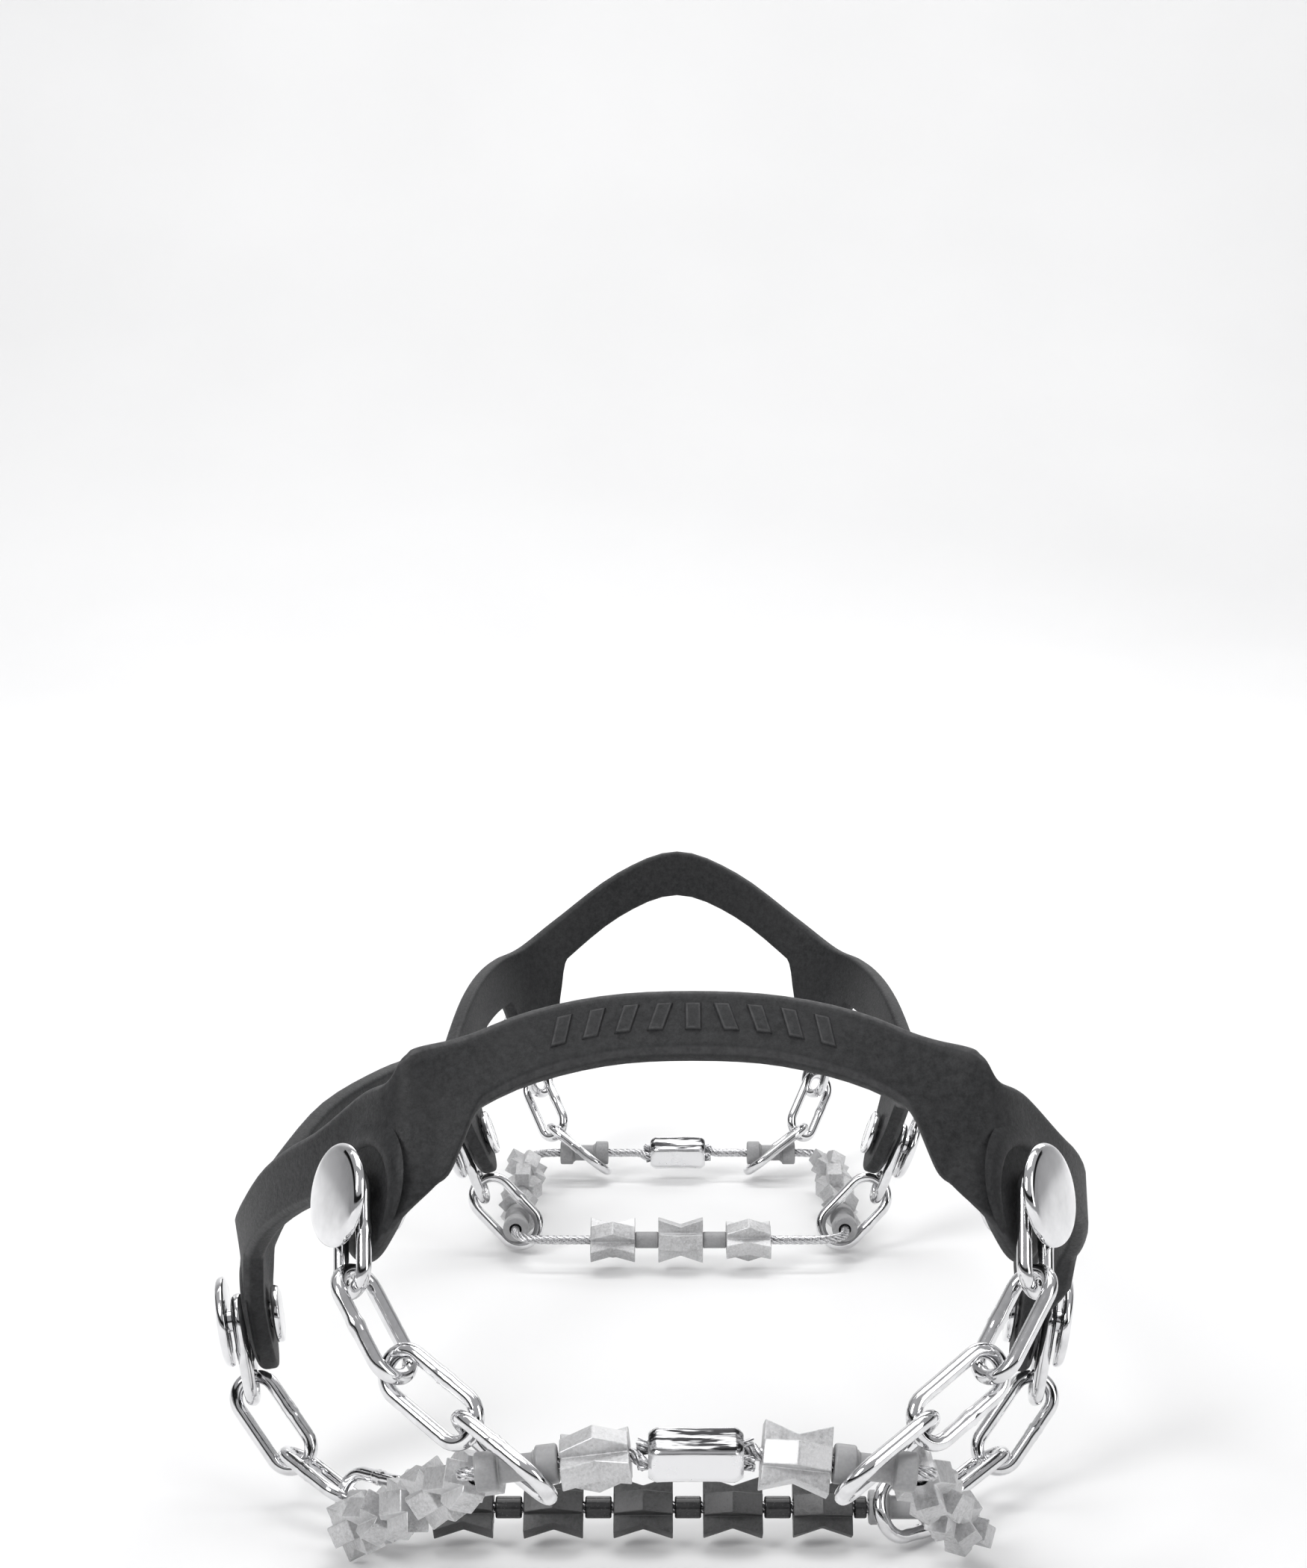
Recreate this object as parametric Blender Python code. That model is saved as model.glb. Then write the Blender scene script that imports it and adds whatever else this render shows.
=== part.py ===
"""Boot ice cleats: a moulded rubber band with eight rivets, chain links hanging from the rivets,
and two wire-rope loops (forefoot and heel) threaded with star beads and grey spools.
Laid out as worn, stretched round a boot. Toe towards -Y, heel +Y, +Z up, tread plane at z = 0.
"""
import math

import bmesh
import bpy
from mathutils import Matrix, Vector

for old in list(bpy.data.objects):
    bpy.data.objects.remove(old, do_unlink=True)

MM = 0.001
SOLE_CENTRE_Y = 150.0        # stations below are measured back from the front strand

# --- driving dimensions, mm -------------------------------------------------------------------
BAND_T = 3.2                 # rubber wall
BAND_HALF = 5.2              # half height of the plain band
SHANK_R = 1.85               # rivet shank
HEAD_R, HEAD_T = 7.3, 1.7    # domed rivet head
FLANGE_R, FLANGE_T = 4.6, 1.2
LINK_LIFT = 1.7              # first link's plane above the band's face
HEAD_LIFT = 3.4              # underside of the head above the band's face
WIRE_R = 1.1                 # chain wire
LINK_INNER = 14.4            # inside length of every link
LINK_W = 4.5                 # inside width of a plain link
PIN_PLAY = 0.2               # first link hangs this far below centre on its rivet shank
RING_W = 6.1                 # inside width of the last, wider link that holds a spool
LINK_SIDES, LINK_ARC = 6, 5
CABLE_R = 0.95
BORE_R = 1.3                 # hole through beads and spools
BEAD_L, ARM_HALF = 9.2, 1.65
PEAK_MID, PEAK_END = 4.3, 2.6
VALLEY_MID, VALLEY_END = 3.0, 4.5
SPACER_R = 1.7
SPOOL_L, WAIST_L, COLLAR_R, WAIST_R = 11.1, 4.4, 2.65, 1.8
FERRULE_L, FERRULE_R = 12.6, 4.1
LAP = 1.13                   # half spacing of the two cable ends inside a ferrule
GAP = 0.3


def at(x, y, z):
    """Station in millimetres to world metres."""
    return Vector((x, y - SOLE_CENTRE_Y, z)) * MM


def mirrored(p, centre_x=0.0):
    return (2.0 * centre_x - p[0], p[1], p[2])


# --- materials --------------------------------------------------------------------------------
def material(name, colour, rough, metal):
    mat = bpy.data.materials.new(name)
    mat.use_nodes = True
    bsdf = mat.node_tree.nodes["Principled BSDF"]
    bsdf.inputs["Base Color"].default_value = (*colour, 1.0)
    bsdf.inputs["Roughness"].default_value = rough
    bsdf.inputs["Metallic"].default_value = metal
    return mat


RUBBER = material("rubber", (0.028, 0.029, 0.031), 0.62, 0.0)
CHROME = material("chrome", (0.82, 0.82, 0.83), 0.12, 1.0)
NICKEL = material("nickel_wire", (0.78, 0.78, 0.79), 0.18, 1.0)
STEEL = material("bead_steel", (0.50, 0.50, 0.51), 0.55, 0.7)
ROPE = material("wire_rope", (0.55, 0.55, 0.56), 0.38, 1.0)
SLEEVE = material("grey_sleeve", (0.33, 0.33, 0.34), 0.42, 0.0)


# --- mesh helpers -----------------------------------------------------------------------------
def finish(name, bm, mat, origin, smooth_deg=35.0):
    """Turn a bmesh in world metres into an object whose origin is its pivot."""
    bmesh.ops.recalc_face_normals(bm, faces=bm.faces[:])
    mesh = bpy.data.meshes.new(name)
    bm.to_mesh(mesh)
    bm.free()
    mesh.transform(Matrix.Translation(-origin))
    mesh.shade_smooth()
    mesh.set_sharp_from_angle(angle=math.radians(smooth_deg))
    mesh.materials.append(mat)
    obj = bpy.data.objects.new(name, mesh)
    obj.location = origin
    bpy.context.collection.objects.link(obj)
    return obj


def bridge(bm, ring_a, ring_b, shift=0):
    n = len(ring_a)
    for i in range(n):
        j = (i + 1) % n
        bm.faces.new((ring_a[i], ring_a[j], ring_b[(j + shift) % n], ring_b[(i + shift) % n]))


def ring_of(bm, points):
    return [bm.verts.new(p) for p in points]


def axes_for(direction, hint=Vector((0, 0, 1))):
    """Two unit vectors square to a direction."""
    d = direction.normalized()
    if abs(d.dot(hint)) > 0.95:
        hint = Vector((0, 1, 0))
    u = (hint - d * d.dot(hint)).normalized()
    return u, d.cross(u)


def sweep(bm, points, radius, sides, closed):
    """Round bar along points, its frame carried without twist; radius is one value or one a point."""
    n = len(points)
    radii = radius if isinstance(radius, list) else [radius] * n
    rings, u = [], None
    for i, p in enumerate(points):
        if closed:
            tan = (points[(i + 1) % n] - points[i - 1]).normalized()
        else:
            tan = (points[min(i + 1, n - 1)] - points[max(i - 1, 0)]).normalized()
        u = axes_for(tan)[0] if u is None else (u - tan * tan.dot(u)).normalized()
        v = tan.cross(u)
        turns = [2 * math.pi * k / sides for k in range(sides)]
        rings.append(ring_of(bm, [p + (u * math.cos(t) + v * math.sin(t)) * radii[i] for t in turns]))
    for a, b in zip(rings, rings[1:]):
        bridge(bm, a, b)
    if closed:
        a, b = rings[-1], rings[0]
        near = min(range(sides), key=lambda k: (a[0].co - b[k].co).length)
        bridge(bm, a, b, near)
    else:
        bm.faces.new(rings[0])
        bm.faces.new(rings[-1])


def turned(bm, origin, axis, outline, sides, closed):
    """Revolve (distance along the axis, radius) pairs, in mm; closed outlines leave a bore."""
    u, v = axes_for(axis)
    d = axis.normalized()
    rings = []
    for s, r in outline:
        turns = [2 * math.pi * (k + 0.5) / sides for k in range(sides)]
        rings.append(ring_of(bm, [origin + (d * s + (u * math.cos(t) + v * math.sin(t)) * r) * MM
                                  for t in turns]))
    for a, b in zip(rings, rings[1:]):
        bridge(bm, a, b)
    if closed:
        bridge(bm, rings[-1], rings[0])
    else:
        bm.faces.new(rings[0])
        bm.faces.new(rings[-1])


# --- beads ------------------------------------------------------------------------------------
ARM_TURNS = [q * math.pi / 2 for q in range(4)]


def star_section(centre, u, v, roll, peak, valley):
    """Four arms: two of radius peak, two of radius valley; twelve corners."""
    pts = []
    for q, turn in enumerate(ARM_TURNS):
        reach = peak if q % 2 == 0 else valley
        for along, side in ((reach, -ARM_HALF), (reach, ARM_HALF), (ARM_HALF, ARM_HALF)):
            a = math.atan2(side, along) + turn + roll
            r = math.hypot(along, side)
            pts.append(centre + (u * math.cos(a) + v * math.sin(a)) * (r * MM))
    return pts


def round_section(centre, u, v, roll, radius):
    angles = []
    for turn in ARM_TURNS:
        for side in (-0.36, 0.36, math.pi / 4):
            angles.append(side + turn + roll)
    return [centre + (u * math.cos(a) + v * math.sin(a)) * (radius * MM) for a in angles]


def bead_row(name, start, end, count, rolls):
    """Beads threaded from start to end with spacer tubes between them, as one sleeve."""
    axis = (end - start).normalized()
    u, v = axes_for(axis)
    length = (end - start).length / MM
    pitch = (length - BEAD_L) / (count - 1) if count > 1 else 0.0
    bm = bmesh.new()
    rings = []
    for k in range(count):
        roll = math.radians(rolls[k % len(rolls)])
        s0 = k * pitch
        place = [start + axis * ((s0 + f * BEAD_L) * MM) for f in (0.0, 0.5, 1.0)]
        if k:
            rings.append((round_section(place[0], u, v, roll, SPACER_R), roll))
        rings.append((star_section(place[0], u, v, roll, PEAK_END, VALLEY_END), roll))
        rings.append((star_section(place[1], u, v, roll, PEAK_MID, VALLEY_MID), roll))
        rings.append((star_section(place[2], u, v, roll, PEAK_END, VALLEY_END), roll))
        if k < count - 1:
            rings.append((round_section(place[2], u, v, roll, SPACER_R), roll))
    made = [(ring_of(bm, pts), roll) for pts, roll in rings]
    notch = math.radians(30)
    for (a, ra), (b, rb) in zip(made, made[1:]):
        bridge(bm, a, b, round((ra - rb) / notch))
    (first, roll_a), (last, roll_b) = made[0], made[-1]
    bore_a = ring_of(bm, round_section(start, u, v, roll_a, BORE_R))
    bore_b = ring_of(bm, round_section(end, u, v, roll_b, BORE_R))
    bridge(bm, bore_a, first)
    bridge(bm, bore_b, last)
    bridge(bm, bore_a, bore_b, round((roll_a - roll_b) / notch))
    return finish(name, bm, STEEL, (start + end) / 2, 20.0)


def spool(name, centre, axis):
    h, w = SPOOL_L / 2, WAIST_L / 2
    outline = [(-h, BORE_R), (-h, COLLAR_R - 0.35), (-h + 0.35, COLLAR_R), (-w - 0.3, COLLAR_R), (-w, WAIST_R),
               (w, WAIST_R), (w + 0.3, COLLAR_R), (h - 0.35, COLLAR_R), (h, COLLAR_R - 0.35), (h, BORE_R)]
    bm = bmesh.new()
    turned(bm, centre, axis, outline, 9, True)
    return finish(name, bm, SLEEVE, centre)


# --- ferrule ----------------------------------------------------------------------------------
def ferrule(name, centre, lap_dir):
    """Six-sided crimped barrel along X with one oval hole for the two cable ends."""
    side = Vector((1, 0, 0)).cross(lap_dir)
    h = FERRULE_L / 2

    def hexagon(x, r):
        pts = []
        for k in range(12):
            a = math.radians(30 * k)
            flat = r * math.cos(math.radians(30)) if k % 2 else r
            pts.append(centre + (Vector((x, 0, 0)) + lap_dir * (math.sin(a) * flat)
                                 + side * (math.cos(a) * flat)) * MM)
        return pts

    def oval(x):
        pts = []
        for k in range(12):
            a = math.radians(30 * k)
            up = math.sin(a) * BORE_R + (LAP if math.sin(a) > 0.01 else -LAP if math.sin(a) < -0.01 else 0)
            pts.append(centre + (Vector((x, 0, 0)) + lap_dir * up + side * (math.cos(a) * BORE_R)) * MM)
        return pts

    bm = bmesh.new()
    outer = [(-h, 3.2), (-h + 0.9, FERRULE_R), (h - 0.9, FERRULE_R), (h, 3.2)]
    rings = [ring_of(bm, hexagon(x, r)) for x, r in outer]
    rings += [ring_of(bm, oval(h)), ring_of(bm, oval(-h))]
    for a, b in zip(rings, rings[1:] + rings[:1]):
        bridge(bm, a, b)
    return finish(name, bm, CHROME, centre, 20.0)


# --- chain ------------------------------------------------------------------------------------
def stadium(centre, d, w, inner_w):
    """Middle line of a link: two straight bars and two round ends."""
    rc = (inner_w / 2 + WIRE_R) * MM
    hs = (LINK_INNER - inner_w) / 2 * MM
    path = []
    for end in (1, -1):
        for k in range(LINK_ARC + 1):
            a = math.pi * (k / LINK_ARC - 0.5)
            path.append(centre + (d * (hs + rc * math.cos(a)) + w * (rc * math.sin(a))) * end)
    return path


def link(name, centre, d, w, inner_w, pivot):
    bm = bmesh.new()
    sweep(bm, stadium(centre, d, w, inner_w), WIRE_R * MM, LINK_SIDES, True)
    return finish(name, bm, NICKEL, pivot)


def chain(prefix, pin, normal, joints, rolls):
    """Links a, b, c... from a rivet pin through the joint points; the last is the spool ring."""
    far = joints[0] - pin
    d = (far - normal * far.dot(normal)).normalized()
    link(f"{prefix}_a", pin + d * (((LINK_INNER - LINK_W) / 2 + PIN_PLAY) * MM), d, normal.cross(d), LINK_W, pin)
    axes = {f"{prefix}_a": (pin, normal)}
    for k, (p, q) in enumerate(zip(joints, joints[1:])):
        last = k == len(joints) - 2
        d = (q - p).normalized()
        ref = d.cross(Vector((0, 0, 1))).normalized()
        w = ref * math.cos(rolls[k]) + ref.cross(d) * math.sin(rolls[k])
        centre = p + d * (7.0 * MM) if last else q - d * (7.0 * MM)
        name = f"{prefix}_{'bcd'[k]}"
        link(name, centre, d, w, RING_W if last else LINK_W, centre)
        axes[name] = (centre, d)
    return axes


# --- rubber band ------------------------------------------------------------------------------
def smooth_path(points, steps):
    """Closed centripetal-free Catmull-Rom curve through points."""
    out, n = [], len(points)
    for i in range(n):
        p0, p1, p2, p3 = (points[(i + k - 1) % n] for k in range(4))
        for s in range(steps):
            t = s / steps
            out.append(0.5 * ((2 * p1) + (p2 - p0) * t + (2 * p0 - 5 * p1 + 4 * p2 - p3) * t * t
                              + (3 * p1 - p0 - 3 * p2 + p3) * t ** 3))
    return out


# plan stations of the band, left (outer) half from toe to heel: x, y, z of its middle, lean of its
# face in degrees; the right (inner) half uses the last value as its own x
BAND_STATIONS = [
    (0.0, 31.5, 78.1, 43, 0.0), (12.7, 31.0, 77.4, 42, 12.7), (24.9, 28.6, 74.6, 37, 24.9),
    (34.4, 25.6, 69.6, 28, 34.4), (40.4, 24.0, 64.8, 18, 40.4), (45.2, 26.2, 59.3, 14, 45.2),
    (49.6, 34.2, 57.0, 9, 49.6), (58.0, 45.6, 52.0, 5, 56.0), (65.2, 57.5, 44.8, 4, 60.4),
    (69.9, 69.0, 36.8, 0, 60.9), (72.3, 80.5, 30.6, -8, 58.1), (72.0, 92.0, 31.0, -4, 57.6),
    (70.0, 108.0, 34.0, 2, 56.4), (65.0, 130.0, 37.5, 2, 53.2), (57.0, 152.0, 38.5, 2, 48.5),
    (52.0, 172.0, 36.0, -2, 48.0), (49.2, 192.0, 31.0, -8, 47.6), (48.8, 206.0, 27.5, -16, 48.4),
    (48.8, 217.0, 26.2, -20, 48.8), (48.6, 229.0, 28.5, -16, 48.6), (47.4, 245.0, 33.0, -8, 47.4),
    (45.2, 262.0, 35.0, -8, 45.2), (41.8, 277.0, 35.5, -13, 41.8), (36.8, 287.6, 36.2, -15, 36.8),
    (28.5, 295.6, 42.0, -8, 28.5), (14.5, 301.6, 52.0, 0, 14.5), (0.0, 303.4, 57.0, 0, 0.0)]
# hanging lobes: station of the rivet, rivet distance below the band's middle, lobe reach, half
# width, shift of the lobe towards the toe, way the rivet faces in degrees round from the toe
LOBES = {"front": (5, 5.6, 15.6, 11.0, 5.0, 59), "mid": (10, 12.0, 21.0, 8.0, 0.0, 85),
         "arch": (18, 13.5, 21.5, 8.0, 0.0, 90), "rear": (23, 16.0, 24.5, 8.0, 0.0, 125)}
FRONT_RISE, RISE_RUN = 6.2, 24.0   # extra height of the band over the front lobes, and its fade


def band_frames():
    """Middle points, outward normals and downward width directions, from toe round the left side."""
    left = [(-s[0], s[1], s[2], s[3]) for s in BAND_STATIONS]
    right = [(s[4], s[1], s[2], s[3]) for s in BAND_STATIONS[1:-1]][::-1]
    ctrl = left + right
    fine = 8
    pts = smooth_path([at(*c[:3]) for c in ctrl], fine)
    leans = smooth_path([Vector((c[3], 0, 0)) for c in ctrl], fine)
    frames, n = [], len(pts)
    for i, p in enumerate(pts):
        tan = pts[(i + 1) % n] - pts[i - 1]
        tan.z = 0
        tan.normalize()
        out = Vector((-tan.y, tan.x, 0))
        lean = math.radians(leans[i].x)
        normal = out * math.cos(lean) + Vector((0, 0, math.sin(lean)))
        down = out * math.sin(lean) - Vector((0, 0, math.cos(lean)))
        frames.append((p, normal, down))
    return frames, fine


def lobe_depth(d, reach, half):
    """Edge of a hanging lobe: a round-bottomed tongue that fillets into the plain band."""
    if d < half * 0.75:
        return reach - (half - math.sqrt(half ** 2 - d * d)) * 0.9
    edge = lobe_depth(half * 0.749, reach, half)
    f = min(1.0, (d - half * 0.75) / 8.0)
    return edge + (BAND_HALF - edge) * (3 * f * f - 2 * f * f * f)


def rivet_places():
    """Where each rivet meets the band's face, which way it faces, and down along the face."""
    frames, fine = band_frames()
    count = 2 * (len(BAND_STATIONS) - 1)
    places = {}
    for lobe, (station, below, _, _, _, turn) in LOBES.items():
        for side, index, s in (("left", station, -1), ("right", count - station, 1)):
            p = frames[index * fine][0]
            out = Vector((s * math.sin(math.radians(turn)), -math.cos(math.radians(turn)), 0))
            lean = math.radians(BAND_STATIONS[station][3])
            normal = out * math.cos(lean) + Vector((0, 0, math.sin(lean)))
            down = out * math.sin(lean) - Vector((0, 0, math.cos(lean)))
            places[f"{lobe}_{side}"] = (p + down * (below * MM), normal, down)
    return places


def outer_band():
    frames, fine = band_frames()
    n = len(frames)
    count = 2 * (len(BAND_STATIONS) - 1)
    run = [0.0]
    for i in range(1, n):
        run.append(run[-1] + (frames[i][0] - frames[i - 1][0]).length / MM)
    total = run[-1] + (frames[0][0] - frames[-1][0]).length / MM

    def gap(a, b):
        """Shorter way round between two distances along the band."""
        return min(abs(a - b), total - abs(a - b))

    lobes = [(run[idx * fine] + s * shift, reach, half)
             for st, _, reach, half, shift, _ in LOBES.values() for idx, s in ((st, -1), (count - st, 1))]
    corners = [run[idx * fine] for idx in (LOBES["front"][0], count - LOBES["front"][0])]
    bm = bmesh.new()
    rings = []
    steps = [i for i in range(n) if i % 8 == 0 or any(
        gap(run[i], c) < 17 and i % 2 == 0 for c, _, _ in lobes)]
    pads = [(c, normal) for c, normal, _ in rivet_places().values()]
    for i in steps:
        p, normal, down = frames[i]
        low = max([BAND_HALF] + [lobe_depth(gap(run[i], c), reach, half) for c, reach, half in lobes])
        f = max(0.0, 1.0 - min(gap(run[i], c) for c in corners) / RISE_RUN)
        top = -BAND_HALF - FRONT_RISE * f * f * (3 - 2 * f)
        c = 0.8
        shape = [(top + c, 0), (top, -c), (top, -BAND_T + c), (top + c, -BAND_T),
                 (low - c, -BAND_T), (low, -BAND_T + c), (low, -c), (low - c, 0)]
        ring = []
        for a, b in shape:
            v = p + (down * a + normal * b) * MM
            for centre, axis in pads:          # flat round pad under each rivet
                rel = v - centre
                high = rel.dot(axis)
                away = (rel - axis * high).length / MM
                if away < 12.5 and abs(high) < 12 * MM:
                    f = min(1.0, (12.5 - away) / 5.5)
                    v = v + axis * ((b * MM - high) * f * f * (3 - 2 * f))
            ring.append(v)
        rings.append(ring_of(bm, ring))
    for a, b in zip(rings, rings[1:] + rings[:1]):
        bridge(bm, a, b)
    return finish("outer_band", bm, RUBBER, Vector((0, 0, 0)))


def drill(target, holes, radius):
    """Cut straight round holes; each cutter is used once and removed."""
    bm = bmesh.new()
    for point, axis in holes:
        turned(bm, point, axis, [(-9, radius), (6, radius)], 12, False)
    bmesh.ops.recalc_face_normals(bm, faces=bm.faces[:])
    mesh = bpy.data.meshes.new("hole_cutter")
    bm.to_mesh(mesh)
    bm.free()
    cutter = bpy.data.objects.new("hole_cutter", mesh)
    cutter.hide_render = True
    cutter.display_type = "WIRE"
    bpy.context.collection.objects.link(cutter)
    cut = target.modifiers.new("rivet_holes", "BOOLEAN")
    cut.operation = "DIFFERENCE"
    cut.object = cutter
    return cutter


def rivet(name, point, normal):
    """Inner flange, shank through band and first link, and a domed head outside."""
    r, t = HEAD_R, HEAD_T
    back = -BAND_T - 0.6
    outline = [(back - FLANGE_T, FLANGE_R), (back, FLANGE_R), (back, SHANK_R), (HEAD_LIFT, SHANK_R),
               (HEAD_LIFT, r - 0.5), (HEAD_LIFT + 0.6, r), (HEAD_LIFT + t * 0.7, r - 0.5), (HEAD_LIFT + t, r * 0.55)]
    bm = bmesh.new()
    turned(bm, point, normal, outline, 14, False)
    return finish(name, bm, CHROME, point)


# --- net layout, mm ---------------------------------------------------------------------------
MID_Y, MID_Z = 60.0, -5.0
FRONT_Z, FRONT_END_Z = 26.0, 24.2   # front strand at its ferrule, and at its spools
HEEL_Z = -4.5
FRONT_WAIST, MID_WAIST_L, MID_WAIST_R = 23.7, -47.5, 33.3
BEAD_X = 13.25                # front beads either side of the ferrule
LAP_OUT = 8.7                 # where the two cable ends beside the ferrule become one line
MID_BEADS = (-35.0, -21.1, -7.2, 6.7, 20.6)
DIAG_L = ((-29.6, 7.6, 20.2), (-52.6, 54.2, -6.4))
DIAG_R = ((30.4, 7.6, 20.2), (42.2, 54.2, -6.4))
HEEL_SIDE_X, HEEL_FRONT_Y, HEEL_REAR_Y = 34.5, 204.0, 275.0
ARCH_WAIST_Y, REAR_WAIST = 217.0, 21.6


def route(stretches):
    """Straight stretches joined by smooth bends that leave each stretch in line with it.

    A stretch is (start, end) or (start, end, sleeves); a sleeve is a pair of fractions of the
    stretch where a close spacer tube makes the rope thicker."""
    pts, radii = [], []

    def add(p, r=CABLE_R):
        pts.append(p.copy())
        radii.append(r * MM)

    for k, stretch in enumerate(stretches):
        a, b = stretch[:2]
        add(a)
        for f0, f1 in (stretch[2] if len(stretch) > 2 else ()):
            step = 0.05 * MM / (b - a).length
            for f, r in ((f0 - step, CABLE_R), (f0, SPACER_R), (f1, SPACER_R), (f1 + step, CABLE_R)):
                add(a + (b - a) * f, r)
        add(b)
        if k == len(stretches) - 1:
            break
        c, d = stretches[k + 1][:2]
        reach = (c - b).length * 0.5
        h0, h1 = b + (b - a).normalized() * reach, c - (d - c).normalized() * reach
        for s in range(1, 6):
            t = s / 6
            add(b * (1 - t) ** 3 + h0 * 3 * t * (1 - t) ** 2 + h1 * 3 * t * t * (1 - t) + c * t ** 3)
    return pts, radii


def cable(name, stretches):
    """Wire rope as one open length whose ends overlap inside the ferrule."""
    bm = bmesh.new()
    pts, radii = route(stretches)
    sweep(bm, pts, radii, 6, False)
    return finish(name, bm, ROPE, Vector((0, 0, 0)))


LAP_UP = Vector((0, 1, 1)).normalized()


def front_at(x):
    """Point on the front strand, which falls a little from the ferrule to the spools."""
    return at(x, 0, FRONT_Z - (FRONT_Z - FRONT_END_Z) * (abs(x) - LAP_OUT) / (FRONT_WAIST - LAP_OUT))


def lap_ends(centre):
    """First and last stretches of a cable, side by side through a ferrule on a strand along X."""
    lift, x0, x1 = LAP_UP * (LAP * MM), Vector((7.8, 0, 0)) * MM, Vector((6.5, 0, 0)) * MM
    return (centre - x0 + lift, centre + x1 + lift), (centre - x1 - lift, centre + x0 - lift)


# --- build ------------------------------------------------------------------------------------
band = outer_band()
places = rivet_places()
drill(band, [(p, n) for p, n, _ in places.values()], SHANK_R + GAP)
for key, (p, n, _) in places.items():
    rivet(f"rivet_{key}", p, n)

half = SPOOL_L / 2 + GAP

# forefoot net
centre = at(0, 0, FRONT_Z)
first, last = lap_ends(centre)
mid_l, mid_r = MID_WAIST_L - half, MID_WAIST_R + half
edges = [MID_WAIST_L + half] + [x + s * (BEAD_L / 2 + GAP) for x in MID_BEADS for s in (-1, 1)]
edges += [MID_WAIST_R - half]
sleeves = [((mid_r - b) / (mid_r - mid_l), (mid_r - a) / (mid_r - mid_l))
           for a, b in zip(edges[::2], edges[1::2])][::-1]
cable("forefoot_cable", [
    first, (front_at(LAP_OUT), front_at(FRONT_WAIST + half)),
    (at(*DIAG_R[0]), at(*DIAG_R[1])),
    (at(mid_r, MID_Y, MID_Z), at(mid_l, MID_Y, MID_Z), sleeves),
    (at(*DIAG_L[1]), at(*DIAG_L[0])),
    (front_at(-FRONT_WAIST - half), front_at(-LAP_OUT)), last])
ferrule("forefoot_ferrule", centre, LAP_UP)
X = Vector((1, 0, 0))
reach = X * (BEAD_L / 2 * MM)
for side, s, roll in (("left", -1, 12), ("right", 1, 58)):
    mid, fall = front_at(s * BEAD_X), (front_at(s * 20.0) - front_at(s * 10.0)).normalized() * s
    bead_row(f"front_bead_{side}", mid - fall * (BEAD_L / 2 * MM), mid + fall * (BEAD_L / 2 * MM), 1, (roll,))
    spool(f"front_spool_{side}", front_at(s * FRONT_WAIST), fall)
for k, x in enumerate(MID_BEADS):
    mid = at(x, MID_Y, MID_Z)
    bead_row(f"mid_bead_{k + 1}", mid - reach, mid + reach, 1, (45 + 4 * k,))
bead_row("diagonal_beads_left", at(*DIAG_L[0]), at(*DIAG_L[1]), 5, (20, 65, 100, 35, 75))
bead_row("diagonal_beads_right", at(*DIAG_R[0]), at(*DIAG_R[1]), 5, (70, 25, 95, 50, 10))
spool("mid_spool_left", at(MID_WAIST_L, MID_Y, MID_Z), X)
spool("mid_spool_right", at(MID_WAIST_R, MID_Y, MID_Z), X)

# heel net
centre = at(0, HEEL_REAR_Y, HEEL_Z)
first, last = lap_ends(centre)
sx, row = HEEL_SIDE_X, (ARCH_WAIST_Y + half + 0.4, ARCH_WAIST_Y + half + 42.4)
rear_end, front_x = REAR_WAIST + half, 27.5
cable("heel_cable", [
    first, (at(9.2, HEEL_REAR_Y, HEEL_Z), at(rear_end, HEEL_REAR_Y, HEEL_Z)),
    (at(sx, row[1] + 1, HEEL_Z), at(sx, ARCH_WAIST_Y - half, HEEL_Z)),
    (at(front_x, HEEL_FRONT_Y, HEEL_Z), at(-front_x, HEEL_FRONT_Y, HEEL_Z)),
    (at(-sx, ARCH_WAIST_Y - half, HEEL_Z), at(-sx, row[1] + 1, HEEL_Z)),
    (at(-rear_end, HEEL_REAR_Y, HEEL_Z), at(-9.2, HEEL_REAR_Y, HEEL_Z)), last])
ferrule("heel_ferrule", centre, LAP_UP)
bead_row("heel_front_beads", at(-18.6, HEEL_FRONT_Y, HEEL_Z), at(18.6, HEEL_FRONT_Y, HEEL_Z), 3, (40, 85, 20))
Y = Vector((0, 1, 0))
for side, s in (("left", -1), ("right", 1)):
    bead_row(f"heel_beads_{side}", at(s * sx, row[0], HEEL_Z), at(s * sx, row[1], HEEL_Z), 3, (45, 90, 30))
    spool(f"arch_spool_{side}", at(s * sx, ARCH_WAIST_Y, HEEL_Z), Y)
    spool(f"rear_spool_{side}", at(s * REAR_WAIST, HEEL_REAR_Y, HEEL_Z), X)

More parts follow.
